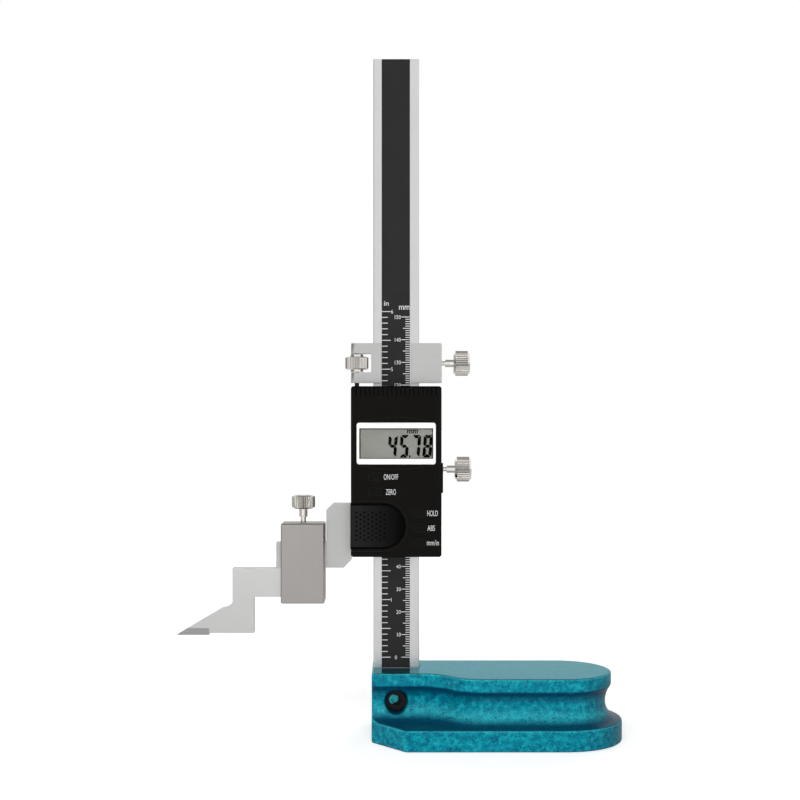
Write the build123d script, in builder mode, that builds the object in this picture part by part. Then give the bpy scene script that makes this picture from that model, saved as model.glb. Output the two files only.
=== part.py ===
from build123d import *
import os
from math import asin, cos, degrees, pi, sin

# Digital height gauge: cast base, graduated beam, display slider, fine adjustment carriage
# and a carbide scriber in a box clamp.
# X runs to the rounded end of the base, Y away from the reader of the display, Z up.
# The origin is on the resting plane, straight below the axis of the beam.

os.makedirs("parts", exist_ok=True)

# Clearances
running_gap = 0.05
mould_gap = 0.10
hole_gap = 0.10

# Beam and its graduated strip
beam_width = 20.2
beam_thickness = 5.0
beam_top = 297.9
beam_edge_break = 0.3
strip_width = 12.35
strip_centre = -0.22
strip_depth = 0.3

# Base casting
deck_height = 29.6
end_margin = 0.55
deck_round_centre = 72.05
deck_round_radius = 21.75
deck_back = 15.3
narrow_front = 15.8
bend_start = 10.0
bend_end = 36.0
lip_height = 5.5
waist_inset = 2.6
flange_reach = 4.7
flange_height = 9.3
flange_cut_x = 14.5
flange_cut_y = 16.4
slot_floor = 6.0
groove_waist_height = 16.7
groove_foot_reach = 3.2
ring_width = 7.0
casting_edge_break = 0.7
relief_depth = 1.5
relief_margin = 10.0
relief_start = 20.0

# Socket head screw through the foot of the beam
foot_screw_height = 17.0
foot_screw_diameter = 5.0
foot_screw_head = 8.5
foot_screw_head_length = 5.0
foot_screw_length = 16.0
foot_socket_size = 4.0
foot_socket_depth = 2.5
counterbore_diameter = 10.1
head_sink = 2.5

# Display housing
housing_bottom = 79.6
housing_height = 74.0
housing_width = 39.3
housing_depth = 8.5
housing_wall = 1.6
housing_corner_radius = 1.2
housing_edge_break = 0.7
housing_post = 5.0
housing_post_height = 2.5
dish_depth = 0.3
dish_rise = 2.2
grip_slot_count = 19
grip_slot_pitch = 1.93
grip_slot_width = 0.9
grip_slot_length = 3.9
grip_slot_depth = 0.5
grip_slot_margin = 0.5

# Display, its centre measured up from the bottom of the housing
display_centre = 49.16
bezel_height = 18.0
bezel_side_gap = 0.25
bezel_radius = 1.2
bezel_proud = 0.15
bezel_flange = 0.7
bezel_flange_thickness = 0.8
bezel_side_border = 1.1
bezel_end_border = 2.4
window_thickness = 0.7
window_sink = 0.35
panel_thickness = 1.6
panel_lap = 0.4
connector_height = 1.8
connector_inset = 3.0

# Buttons, their places measured from the beam's axis and the bottom of the housing
button_width = 5.4
button_height = 3.3
button_radius = 0.7
button_proud = 0.2
button_flange = 0.5
button_flange_thickness = 0.7
button_travel = 0.4
left_button_x = -9.14
on_off_height = 34.7
zero_height = 28.2
right_button_x = 9.91
hold_height = 19.0
abs_height = 12.6
unit_height = 6.3

# Battery bay and its sliding cover
bay_centre_x = -5.85
bay_centre_height = 13.4
cover_radius = 9.9
cover_thickness = 1.5
cover_tongue = 0.6
cover_tongue_thickness = 0.8
cover_pad_radius = 9.0
cover_pad_rise = 0.25
cover_lip_proud = 0.2
cover_lip_thickness = 1.2
cover_lip_depth = 5.9
cover_groove_width = 0.9
cover_groove_depth = 0.4
bay_wall = 1.0
dimple_diameter = 0.9
dimple_depth = 0.2
dimple_sides = 6
dimple_columns = 8
dimple_rows = 7
dimple_pitch_x = 1.72
dimple_pitch_z = 1.96
dimple_start_x = -17.2
cell_diameter = 11.6
cell_thickness = 5.4
cell_gap = 0.15
contact_thickness = 0.2
contact_width = 4.0
contact_step = 1.0

# Circuit board with its sensing block, and the key mat on it
board_thickness = 1.2
board_width = 26.4
board_margin = 4.4
sensor_width = 16.0
sensor_margin = 8.0
sensor_gap = 0.25
mat_thickness = 1.3

# Slider frame, with the jaw plate and the arm bar on its left
frame_inset = 0.3
frame_side_inset = 0.35
front_plate = 2.95
gib_thickness = 1.2
gib_margin = 4.0
gib_height = 4.6
back_plate_width = 28.8
back_plate_thickness = 1.5
back_plate_margin = 1.0
jaw_left = -30.9
jaw_foot_right = -19.75
jaw_height = 28.45
jaw_top_cut = 3.0
jaw_foot_cut_x = 3.35
jaw_foot_cut_z = 3.55
arm_end = -53.0
arm_height = 11.25
arm_drop = 6.0
arm_thickness = 5.1

# Set screws that press the slider's gib
gib_screw_diameter = 2.0
gib_screw_length = 5.0
gib_screw_margin = 11.7

# Black strip where the slider's lock screw goes in
side_strip_thickness = 1.35
side_strip_bottom = 27.0
side_strip_height = 13.1
side_strip_depth = 5.0

# Knurled lock screws
knob_diameter = 11.0
knob_length = 7.2
knob_bevel = 0.9
knob_teeth = 36
knurl_depth = 0.3
knurl_shoulder = 0.05
stem_diameter = 3.4
stem_length = 3.6
neck_diameter = 2.0
neck_length = 1.6
slider_lock_height = 37.4
carriage_lock_height = 8.7

# Fine adjustment carriage
carriage_gap = 1.5
carriage_height = 17.5
carriage_left = -20.0
carriage_right = 20.0
carriage_lip = 1.45
carriage_back = 2.0
carriage_mouth_left = -6.55
carriage_mouth_right = 6.65
carriage_round = 2.2
window_right = -11.05
window_bottom = 4.7
window_height = 8.2
carriage_gib_margin = 1.0

# Fine wheel and the threaded rod that it runs on
wheel_x = -17.45
wheel_diameter = 10.2
wheel_width = 5.6
wheel_bevel = 0.35
wheel_teeth = 36
wheel_hub_diameter = 5.8
wheel_end_gap = 0.25
rod_diameter = 2.0
rod_seat = 4.0
rod_top_sink = 0.6

# Box clamp, its screw and its pad
clamp_left = -50.7
clamp_right = -31.5
clamp_depth = 13.0
clamp_edge = 0.5
clamp_floor = 2.4
clamp_roof = 7.5
clamp_screw_x = -41.1
clamp_knob_diameter = 10.4
clamp_knob_length = 6.0
clamp_knob_bevel = 0.6
clamp_stem_diameter = 3.8
clamp_stem_length = 3.6
clamp_thread_diameter = 2.5
clamp_neck_length = 2.6
pad_length = 8.0
pad_thickness = 1.0
pad_width = 4.4

# Scriber
scriber_left = -72.3
scriber_right = -32.2
scriber_thickness = 5.0
scriber_arm_height = 12.8
scriber_leg_right = -62.8
scriber_foot_lift = 0.8
scriber_leg_drop = 28.75
scriber_shoulder_drop = 15.1
scriber_blend_radius = 5.0
scriber_nose_x = -76.8
scriber_nose_drop = 17.75
scriber_tip_x = -96.8
carbide_back = -82.6
carbide_height = 2.95

# Heights and depths that follow from the sizes above
beam_half = beam_width / 2
beam_front = -beam_thickness / 2
channel_half = beam_thickness / 2 + running_gap
base_left = -beam_half - end_margin
deck_front = deck_back - 2 * deck_round_radius
deck_round_y = deck_back - deck_round_radius
housing_top = housing_bottom + housing_height
housing_half = housing_width / 2
frame_bottom = housing_bottom + frame_inset
frame_top = housing_top - frame_inset
frame_half = housing_half - frame_side_inset
frame_front = -channel_half - front_plate
housing_back = frame_front
housing_front = housing_back - housing_depth
wall_back = housing_front + housing_wall
bezel_width = housing_width - 2 * (housing_wall + bezel_side_gap + bezel_flange)
glass_width = bezel_width - 2 * bezel_side_border
glass_height = bezel_height - 2 * bezel_end_border
display_z = housing_bottom + display_centre
board_front = frame_front - board_thickness
channel_left = -beam_half - running_gap
gib_left = beam_half + running_gap
gib_right = gib_left + gib_thickness
channel_right = gib_right + running_gap
arm_bottom = housing_bottom - arm_drop
arm_top = arm_bottom + arm_height
jaw_top = arm_bottom + jaw_height
bay_z = housing_bottom + bay_centre_height
carriage_bottom = housing_top + carriage_gap
carriage_top = carriage_bottom + carriage_height
clamp_bottom = arm_bottom - running_gap - scriber_arm_height - running_gap - clamp_floor
clamp_hole_top = arm_top + running_gap + pad_thickness + running_gap
clamp_top = clamp_hole_top + clamp_roof
slider_lock_z = housing_bottom + slider_lock_height
carriage_lock_z = carriage_bottom + carriage_lock_height


def front_of(y):
    """Upright sketch plane at depth y, extruding towards the reader."""
    return Plane.XZ.offset(-y)


def right_of(x):
    """Upright sketch plane at x, extruding to the right; its own axes are Y and Z."""
    return Plane.YZ.offset(x)


def above(z):
    """Level sketch plane at height z, extruding upwards."""
    return Plane.XY.offset(z)


def span(low_a, high_a, low_b, high_b):
    """Rectangle given by its edges."""
    with Locations(((low_a + high_a) / 2, (low_b + high_b) / 2)):
        Rectangle(high_a - low_a, high_b - low_b)


def finish(piece, name):
    """Label a finished piece and write it."""
    piece.part.label = name
    export_step(piece.part, f"parts/{name}.step")


def deck_edge(inset):
    """Edge of the deck in plan, from its left front corner round the nose to its left back one."""
    rise = narrow_front + deck_front
    run = bend_end - bend_start
    bend_radius = -(run ** 2 + rise ** 2) / (4 * rise)
    turn = degrees(asin(run / (2 * bend_radius)))
    first_centre = (bend_start, -narrow_front - bend_radius)
    second_centre = (bend_end, deck_front + bend_radius)
    Line((base_left, -narrow_front + inset), (bend_start, -narrow_front + inset))
    CenterArc(first_centre, bend_radius + inset, 90, -turn)
    second_bend = CenterArc(second_centre, bend_radius - inset, 270 - turn, turn)
    nose = CenterArc((deck_round_centre, deck_round_y), deck_round_radius - inset, -90, 180)
    Line(second_bend @ 1, nose @ 0)
    Line(nose @ 1, (base_left, deck_back - inset))


# Base casting: a flange, a core and the finger groove's profile swept round the deck's edge
flange_front = deck_front - flange_reach
flange_back = deck_back + flange_reach
foot_seat_y = -narrow_front + waist_inset + head_sink + foot_screw_head_length

with BuildPart() as base_casting:
    with BuildSketch(above(0)) as flange_plan:
        with BuildLine():
            flange_nose = CenterArc(
                (deck_round_centre, deck_round_y), deck_round_radius + flange_reach, -90, 180
            )
            Polyline(
                flange_nose @ 1,
                (base_left, flange_back),
                (base_left, flange_front + flange_cut_y),
                (base_left + flange_cut_x, flange_front),
                flange_nose @ 0,
            )
        make_face()
    extrude(amount=flange_height)
    flange_rim = base_casting.faces().sort_by(Axis.Z)[-1].edges()
    chamfer(
        [edge for edge in flange_rim if edge.bounding_box().max.X > base_left + running_gap],
        length=casting_edge_break,
    )
    with BuildSketch(above(flange_height - ring_width / 2)):
        with BuildLine():
            deck_edge(ring_width / 2)
            Line(
                (base_left, -narrow_front + ring_width / 2),
                (base_left, deck_back - ring_width / 2),
            )
        make_face()
    extrude(amount=deck_height - flange_height + ring_width / 2)
    with BuildLine(Plane.XY) as deck_path:
        deck_edge(0)
    with BuildSketch(right_of(base_left)):
        with BuildLine():
            inner_y = -narrow_front + ring_width
            waist_y = -narrow_front + waist_inset
            foot_y = -narrow_front - groove_foot_reach
            waist = (waist_y, groove_waist_height)
            TangentArc(waist, (-narrow_front, deck_height - lip_height), tangent=(0, 1))
            TangentArc(waist, (foot_y, flange_height), tangent=(0, -1))
            Polyline(
                (foot_y, flange_height),
                (foot_y, flange_height / 2),
                (inner_y, flange_height / 2),
                (inner_y, deck_height),
                (-narrow_front, deck_height),
                (-narrow_front, deck_height - lip_height),
            )
        make_face()
    sweep(path=deck_path.wires()[0])
    with BuildSketch(above(slot_floor)):
        span(base_left, beam_half + running_gap, -channel_half, channel_half)
    extrude(amount=deck_height - slot_floor, mode=Mode.SUBTRACT)
    with BuildSketch(above(0)) as relief:
        span(
            relief_start,
            deck_round_centre + deck_round_radius - relief_margin,
            flange_front + relief_margin,
            flange_back - relief_margin,
        )
        fillet(relief.vertices(), radius=relief_margin)
    extrude(amount=relief_depth, mode=Mode.SUBTRACT)
    with BuildSketch(above(0)):
        with BuildLine():
            Polyline(
                (base_left, flange_front + flange_cut_y),
                (base_left + flange_cut_x, flange_front),
                (base_left, flange_front),
                close=True,
            )
        make_face()
    extrude(amount=groove_waist_height, mode=Mode.SUBTRACT)
    with BuildSketch(front_of(deck_front)):
        with Locations((0, foot_screw_height)):
            Circle(counterbore_diameter / 2)
    extrude(amount=foot_seat_y - deck_front, dir=(0, 1, 0), mode=Mode.SUBTRACT)
    with BuildSketch(front_of(foot_seat_y)):
        with Locations((0, foot_screw_height)):
            Circle(foot_screw_diameter / 2 + running_gap)
    extrude(amount=foot_screw_length + head_sink, dir=(0, 1, 0), mode=Mode.SUBTRACT)
finish(base_casting, "base_casting")


# Socket head screw that draws the base's cheeks onto the beam
with BuildPart() as base_clamp_screw:
    with BuildSketch(front_of(foot_seat_y)):
        with Locations((0, foot_screw_height)):
            Circle(foot_screw_head / 2)
    extrude(amount=foot_screw_head_length)
    with BuildSketch(front_of(foot_seat_y)):
        with Locations((0, foot_screw_height)):
            Circle(foot_screw_diameter / 2)
    extrude(amount=-foot_screw_length)
    with BuildSketch(front_of(foot_seat_y - foot_screw_head_length)):
        with Locations((0, foot_screw_height)):
            RegularPolygon(foot_socket_size / 2, 6, major_radius=False)
    extrude(amount=-foot_socket_depth, mode=Mode.SUBTRACT)
finish(base_clamp_screw, "base_clamp_screw")


# Beam, with a shallow channel for its strip and a hole through its foot
with BuildPart() as beam:
    with BuildSketch(above(slot_floor)) as beam_plan:
        Rectangle(beam_width, beam_thickness)
        chamfer(beam_plan.vertices(), length=beam_edge_break)
    extrude(amount=beam_top - slot_floor)
    with BuildSketch(front_of(beam_front)):
        with Locations((strip_centre, (deck_height + beam_top) / 2)):
            Rectangle(strip_width, beam_top - deck_height)
    extrude(amount=-strip_depth, mode=Mode.SUBTRACT)
    with BuildSketch(front_of(0)):
        with Locations((0, foot_screw_height)):
            Circle(foot_screw_diameter / 2 + hole_gap)
    extrude(amount=beam_thickness, both=True, mode=Mode.SUBTRACT)
finish(beam, "beam")

with BuildPart() as scale_strip:
    with BuildSketch(front_of(beam_front + strip_depth)):
        with Locations((strip_centre, (deck_height + beam_top) / 2)):
            Rectangle(strip_width, beam_top - deck_height)
    extrude(amount=strip_depth)
finish(scale_strip, "scale_strip")


# Slider frame: a channel round the beam, the jaw plate and the arm bar
gib_screw_heights = (frame_bottom + gib_screw_margin, frame_top - gib_screw_margin)
sensor_bottom = frame_bottom + sensor_margin
sensor_top = frame_top - sensor_margin

with BuildPart() as slider_frame:
    with BuildSketch(above(frame_bottom)):
        span(-frame_half, frame_half, frame_front, channel_half)
        span(channel_left, channel_right, -channel_half, channel_half)
    extrude(amount=frame_top - frame_bottom)
    with BuildSketch(above(frame_bottom)):
        span(channel_left, channel_right, -channel_half, channel_half)
    extrude(amount=frame_top - frame_bottom, mode=Mode.SUBTRACT)
    with BuildSketch(front_of(0)):
        with BuildLine():
            Polyline(
                (channel_left, frame_bottom),
                (jaw_foot_right, frame_bottom),
                (jaw_foot_right, arm_bottom + jaw_foot_cut_z),
                (jaw_foot_right - jaw_foot_cut_x, arm_bottom),
                (arm_end, arm_bottom),
                (arm_end, arm_top),
                (jaw_left, arm_top),
                (jaw_left, jaw_top - jaw_top_cut),
                (jaw_left + jaw_top_cut, jaw_top),
                (channel_left, jaw_top),
                close=True,
            )
        make_face()
    extrude(amount=arm_thickness / 2, both=True)
    with BuildSketch(front_of(0)):
        span(
            strip_centre - sensor_width / 2 - mould_gap,
            strip_centre + sensor_width / 2 + mould_gap,
            sensor_bottom - mould_gap,
            sensor_top + mould_gap,
        )
    extrude(amount=-frame_front, mode=Mode.SUBTRACT)
    with BuildSketch(right_of(gib_right)):
        with Locations((0, slider_lock_z)):
            Circle(neck_diameter / 2 + running_gap)
        with Locations(*[(0, z) for z in gib_screw_heights]):
            Circle(gib_screw_diameter / 2 + running_gap)
    extrude(amount=frame_half, mode=Mode.SUBTRACT)
    with BuildSketch(above(frame_top)):
        with Locations((wheel_x, 0)):
            Circle(rod_diameter / 2)
    extrude(amount=-rod_seat, mode=Mode.SUBTRACT)
finish(slider_frame, "slider_frame")

with BuildPart() as slider_back_plate:
    with BuildSketch(front_of(channel_half + back_plate_thickness)):
        span(
            -back_plate_width / 2,
            back_plate_width / 2,
            frame_bottom + back_plate_margin,
            frame_top - back_plate_margin,
        )
    extrude(amount=back_plate_thickness)
finish(slider_back_plate, "slider_back_plate")

with BuildPart() as slider_gib:
    with BuildSketch(right_of(gib_left)):
        span(-gib_height / 2, gib_height / 2, frame_bottom + gib_margin, frame_top - gib_margin)
    extrude(amount=gib_thickness)
finish(slider_gib, "slider_gib")

with BuildPart() as gib_screws:
    with BuildSketch(right_of(gib_right + running_gap)):
        with Locations(*[(0, z) for z in gib_screw_heights]):
            Circle(gib_screw_diameter / 2)
    extrude(amount=gib_screw_length)
finish(gib_screws, "gib_screws")

with BuildPart() as side_strip:
    with BuildSketch(right_of(frame_half)):
        with Locations((0, housing_bottom + side_strip_bottom + side_strip_height / 2)):
            Rectangle(side_strip_depth, side_strip_height)
        with Locations((0, slider_lock_z)):
            Circle(neck_diameter / 2 + hole_gap, mode=Mode.SUBTRACT)
    extrude(amount=side_strip_thickness)
finish(side_strip, "side_strip")


# Circuit board: a thin board in front of the frame, with its sensing block in the frame's opening
board_bottom = frame_bottom + board_margin
board_top = frame_top - board_margin

with BuildPart() as sensor_board:
    with BuildSketch(front_of(frame_front)):
        span(-board_width / 2, board_width / 2, board_bottom, board_top)
    extrude(amount=board_thickness)
    with BuildSketch(front_of(beam_front - sensor_gap)):
        span(
            strip_centre - sensor_width / 2,
            strip_centre + sensor_width / 2,
            sensor_bottom,
            sensor_top,
        )
    extrude(amount=beam_front - sensor_gap - frame_front)
finish(sensor_board, "sensor_board")


# Housing shell: a moulding open to the back
button_places = {
    "on_off": (left_button_x, housing_bottom + on_off_height),
    "zero": (left_button_x, housing_bottom + zero_height),
    "hold": (right_button_x, housing_bottom + hold_height),
    "abs": (right_button_x, housing_bottom + abs_height),
    "unit": (right_button_x, housing_bottom + unit_height),
}
tongue_front = housing_front + cover_thickness - cover_tongue_thickness
cover_back = housing_front + cover_thickness
cell_back = board_front - contact_thickness
cell_front = cell_back - cell_thickness
bay_back = board_front - contact_thickness
cover_left = -housing_half - cover_lip_proud


def bay_shape(radius, left):
    """D shape about the battery bay's centre, its flat side at left."""
    span(left, bay_centre_x, bay_z - radius, bay_z + radius)
    with Locations((bay_centre_x, bay_z)):
        Circle(radius)


with BuildPart() as housing_shell:
    with BuildSketch(front_of(housing_back)) as housing_plan:
        span(-housing_half, housing_half, housing_bottom, housing_top)
        fillet(housing_plan.vertices(), radius=housing_corner_radius)
    extrude(amount=housing_depth)
    chamfer(housing_shell.faces().sort_by(Axis.Y)[0].edges(), length=housing_edge_break)
    with BuildSketch(front_of(housing_back)):
        span(
            -housing_half + housing_wall,
            housing_half - housing_wall,
            housing_bottom + housing_wall,
            housing_top - housing_wall,
        )
    extrude(amount=housing_depth - housing_wall, mode=Mode.SUBTRACT)
    with BuildSketch(front_of(bay_back)):
        bay_shape(cover_radius + cover_tongue + mould_gap + bay_wall, -housing_half + housing_wall)
    extrude(amount=bay_back - wall_back)
    with BuildSketch(front_of(housing_back)):
        with Locations((0, housing_bottom + housing_height / 2)):
            with GridLocations(
                housing_width - housing_wall - housing_post,
                housing_height - housing_wall - housing_post,
                2,
                2,
            ):
                Rectangle(housing_post, housing_post)
    extrude(amount=housing_post_height)
    with BuildSketch(front_of(housing_front)):
        with BuildLine():
            dish_half = bezel_width / 2 + mould_gap
            dish_top = display_z + bezel_height / 2 + mould_gap
            dish_foot = display_z - bezel_height / 2 - mould_gap
            ThreePointArc((-dish_half, dish_top), (0, dish_top + dish_rise), (dish_half, dish_top))
            Line((dish_half, dish_top), (dish_half, dish_foot))
            ThreePointArc(
                (dish_half, dish_foot), (0, dish_foot - dish_rise), (-dish_half, dish_foot)
            )
            Line((-dish_half, dish_foot), (-dish_half, dish_top))
        make_face()
    extrude(amount=-dish_depth, mode=Mode.SUBTRACT)
    with BuildSketch(front_of(wall_back)):
        with Locations((0, display_z)):
            RectangleRounded(
                bezel_width + 2 * mould_gap, bezel_height + 2 * mould_gap, bezel_radius
            )
        with Locations(*button_places.values()):
            RectangleRounded(
                button_width + 2 * mould_gap, button_height + 2 * mould_gap, button_radius
            )
    extrude(amount=housing_wall, mode=Mode.SUBTRACT)
    with BuildSketch(front_of(housing_front + grip_slot_depth)):
        with Locations((0, housing_top - grip_slot_margin - grip_slot_length / 2)):
            with GridLocations(grip_slot_pitch, 1, grip_slot_count, 1):
                Rectangle(grip_slot_width, grip_slot_length)
    extrude(amount=grip_slot_depth, mode=Mode.SUBTRACT)
    with BuildSketch(front_of(housing_front + cover_groove_depth)):
        bay_shape(cover_radius + cover_groove_width, -housing_half)
    extrude(amount=cover_groove_depth, mode=Mode.SUBTRACT)
    with BuildSketch(front_of(cover_back + mould_gap)):
        bay_shape(cover_radius + mould_gap, -housing_half)
    extrude(amount=cover_thickness + mould_gap, mode=Mode.SUBTRACT)
    with BuildSketch(front_of(cover_back + mould_gap)):
        bay_shape(cover_radius + cover_tongue + mould_gap, -housing_half)
    extrude(amount=cover_tongue_thickness + 2 * mould_gap, mode=Mode.SUBTRACT)
    with BuildSketch(front_of(housing_front + cover_lip_depth + mould_gap)):
        span(
            -housing_half,
            cover_left + cover_lip_thickness + mould_gap,
            bay_z - cover_radius - mould_gap,
            bay_z + cover_radius + mould_gap,
        )
    extrude(amount=cover_lip_depth + mould_gap, mode=Mode.SUBTRACT)
    with BuildSketch(front_of(bay_back)):
        with Locations((bay_centre_x, bay_z)):
            Circle(cell_diameter / 2 + cell_gap)
        with Locations((bay_centre_x + cell_diameter / 2, bay_z)):
            Rectangle(2 * (cell_gap + contact_thickness), contact_width + 2 * mould_gap)
    extrude(amount=bay_back - cover_back, mode=Mode.SUBTRACT)
finish(housing_shell, "housing_shell")


# Display: white frame, clear window, glass panel and its rubber connector
bezel_front = housing_front - bezel_proud
window_front = bezel_front + window_sink
panel_front = wall_back

with BuildPart() as lcd_bezel:
    with BuildSketch(front_of(wall_back)):
        with Locations((0, display_z)):
            RectangleRounded(bezel_width, bezel_height, bezel_radius - mould_gap)
        with Locations((0, display_z)):
            Rectangle(glass_width, glass_height, mode=Mode.SUBTRACT)
    extrude(amount=wall_back - bezel_front)
    with BuildSketch(front_of(wall_back + bezel_flange_thickness)):
        with Locations((0, display_z)):
            Rectangle(bezel_width + 2 * bezel_flange, bezel_height + 2 * bezel_flange)
        with Locations((0, display_z)):
            Rectangle(
                glass_width + 2 * panel_lap + 2 * mould_gap,
                glass_height + 2 * panel_lap + 2 * mould_gap,
                mode=Mode.SUBTRACT,
            )
    extrude(amount=bezel_flange_thickness)
finish(lcd_bezel, "lcd_bezel")

with BuildPart() as lcd_window:
    with BuildSketch(front_of(window_front + window_thickness)):
        with Locations((0, display_z)):
            Rectangle(glass_width - 2 * running_gap, glass_height - 2 * running_gap)
    extrude(amount=window_thickness)
finish(lcd_window, "lcd_window")

with BuildPart() as lcd_panel:
    with BuildSketch(front_of(panel_front + panel_thickness)):
        with Locations((0, display_z)):
            Rectangle(glass_width + 2 * panel_lap, glass_height + 2 * panel_lap)
    extrude(amount=panel_thickness)
finish(lcd_panel, "lcd_panel")

panel_foot = display_z - glass_height / 2 - panel_lap
with BuildPart() as connector_strip:
    with BuildSketch(front_of(board_front)):
        with Locations((0, panel_foot + connector_height / 2)):
            Rectangle(glass_width - 2 * connector_inset, connector_height)
    extrude(amount=board_front - panel_front - panel_thickness)
finish(connector_strip, "connector_strip")


# Key mat on the board and the five keys above it
bay_reach = cover_radius + cover_tongue + mould_gap + bay_wall + mould_gap
mat_split = bay_centre_x + bay_reach
mat_step = bay_z + bay_reach
with BuildPart() as key_mat:
    with BuildSketch(front_of(board_front)):
        span(mat_split, board_width / 2, board_bottom, panel_foot - mould_gap)
        span(-board_width / 2, board_width / 2, mat_step, panel_foot - mould_gap)
    extrude(amount=mat_thickness)
finish(key_mat, "key_mat")

stem_back = board_front - mat_thickness - button_travel - running_gap


def make_button(name, x, z):
    """Key: a cap through the housing, a flange behind its wall and a stem to the mat."""
    with BuildPart() as button:
        with BuildSketch(front_of(wall_back + running_gap)):
            with Locations((x, z)):
                RectangleRounded(button_width, button_height, button_radius - mould_gap)
        extrude(amount=housing_wall + running_gap + button_proud)
        with BuildSketch(front_of(wall_back + running_gap + button_flange_thickness)):
            with Locations((x, z)):
                Rectangle(button_width + 2 * button_flange, button_height + 2 * button_flange)
        extrude(amount=button_flange_thickness)
        with BuildSketch(front_of(stem_back)):
            with Locations((x, z)):
                Rectangle(button_width / 2, button_height / 2)
        extrude(amount=stem_back - wall_back - button_flange_thickness)
    finish(button, f"button_{name}")


for button_name, (button_x, button_z) in button_places.items():
    make_button(button_name, button_x, button_z)


# Battery, its two contact springs and the sliding cover
with BuildPart() as coin_cell:
    with BuildSketch(front_of(cell_back)):
        with Locations((bay_centre_x, bay_z)):
            Circle(cell_diameter / 2)
    extrude(amount=cell_thickness)
finish(coin_cell, "coin_cell")

with BuildPart() as contact_minus:
    with BuildSketch(front_of(board_front)):
        with Locations((bay_centre_x, bay_z)):
            Rectangle(contact_width, contact_width)
    extrude(amount=contact_thickness)
finish(contact_minus, "contact_minus")

with BuildPart() as contact_plus:
    with BuildSketch(front_of(board_front)):
        contact_left = bay_centre_x + cell_diameter / 2 + running_gap
        span(
            contact_left,
            contact_left + contact_thickness,
            bay_z - contact_width / 2,
            bay_z + contact_width / 2,
        )
    extrude(amount=board_front - cell_front - contact_step)
finish(contact_plus, "contact_plus")

with BuildPart() as battery_cover:
    with BuildSketch(front_of(cover_back)):
        bay_shape(cover_radius, cover_left)
    extrude(amount=cover_thickness)
    with BuildSketch(front_of(tongue_front + cover_tongue_thickness)):
        bay_shape(cover_radius + cover_tongue, -housing_half)
    extrude(amount=cover_tongue_thickness)
    with BuildSketch(front_of(housing_front)):
        bay_shape(cover_pad_radius, cover_left)
    extrude(amount=cover_pad_rise)
    with BuildSketch(front_of(housing_front + cover_lip_depth)):
        span(
            cover_left,
            cover_left + cover_lip_thickness,
            bay_z - cover_radius,
            bay_z + cover_radius,
        )
    extrude(amount=cover_lip_depth)
    pad_front = housing_front - cover_pad_rise
    with BuildSketch(front_of(pad_front + dimple_depth)):
        for column in range(dimple_columns):
            rows = dimple_rows - column % 2
            x = dimple_start_x + column * dimple_pitch_x
            with Locations((x, bay_z)):
                with GridLocations(dimple_pitch_x, dimple_pitch_z, 1, rows):
                    RegularPolygon(dimple_diameter / 2, dimple_sides)
    extrude(amount=dimple_depth, mode=Mode.SUBTRACT)
finish(battery_cover, "battery_cover")


# Knurled lock screws: knob, stem and a thin threaded neck that reaches the gib
def knurled_knob(diameter, length, bevel, teeth):
    """Knob standing on the origin, its knurl between two plain bevels."""
    root = diameter / 2 - knurl_depth
    shoulder = root - knurl_shoulder
    with BuildPart(mode=Mode.PRIVATE) as knob:
        with BuildSketch(Plane.XZ):
            with BuildLine():
                Polyline(
                    (0, 0),
                    (shoulder - bevel, 0),
                    (shoulder, bevel),
                    (shoulder, length - bevel),
                    (shoulder - bevel, length),
                    (0, length),
                    close=True,
                )
            make_face()
        revolve(axis=Axis.Z)
        with BuildSketch(above(bevel)):
            crests_and_roots = [
                (radius * cos(angle), radius * sin(angle))
                for tooth in range(teeth)
                for radius, angle in (
                    (diameter / 2, 2 * pi * tooth / teeth),
                    (root, 2 * pi * (tooth + 0.5) / teeth),
                )
            ]
            Polygon(*crests_and_roots, align=None)
        extrude(amount=length - 2 * bevel)
    return knob.part


lock_knob = knurled_knob(knob_diameter, knob_length, knob_bevel, knob_teeth)


def make_lock_screw(name, face_x, z):
    """Lock screw along X, its neck entering the face at face_x."""
    stem_x = face_x + neck_length
    knob_x = stem_x + stem_length
    with BuildPart() as screw:
        with BuildSketch(right_of(gib_right + running_gap)):
            with Locations((0, z)):
                Circle(neck_diameter / 2)
        extrude(amount=stem_x - gib_right - running_gap)
        with BuildSketch(right_of(stem_x)):
            with Locations((0, z)):
                Circle(stem_diameter / 2)
        extrude(amount=stem_length)
        with Locations(Location((knob_x, 0, z), (0, 90, 0))):
            add(lock_knob)
    finish(screw, name)


make_lock_screw(
    "slider_lock_screw", frame_half + side_strip_thickness + running_gap, slider_lock_z
)
make_lock_screw("carriage_lock_screw", carriage_right + running_gap, carriage_lock_z)


# Fine adjustment carriage: a block round the beam, open in front over the strip
window_z = carriage_bottom + window_bottom
with BuildPart() as fine_carriage:
    with BuildSketch(above(carriage_bottom)) as carriage_plan:
        span(
            carriage_left,
            carriage_right,
            -channel_half - carriage_lip,
            channel_half + carriage_back,
        )
        fillet(carriage_plan.vertices().group_by(Axis.X)[0], radius=carriage_round)
        with Locations((wheel_x, 0)):
            Circle(rod_diameter / 2 + hole_gap, mode=Mode.SUBTRACT)
    extrude(amount=carriage_height)
    with BuildSketch(above(carriage_bottom)):
        span(channel_left, channel_right, -channel_half, channel_half)
        span(carriage_mouth_left, carriage_mouth_right, -channel_half - carriage_lip, 0)
    extrude(amount=carriage_height, mode=Mode.SUBTRACT)
    with BuildSketch(above(window_z)):
        span(carriage_left, window_right, -wheel_diameter, wheel_diameter)
    extrude(amount=window_height, mode=Mode.SUBTRACT)
    with BuildSketch(right_of(gib_right)):
        with Locations((0, carriage_lock_z)):
            Circle(neck_diameter / 2 + running_gap)
    extrude(amount=carriage_right, mode=Mode.SUBTRACT)
finish(fine_carriage, "fine_carriage")

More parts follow.
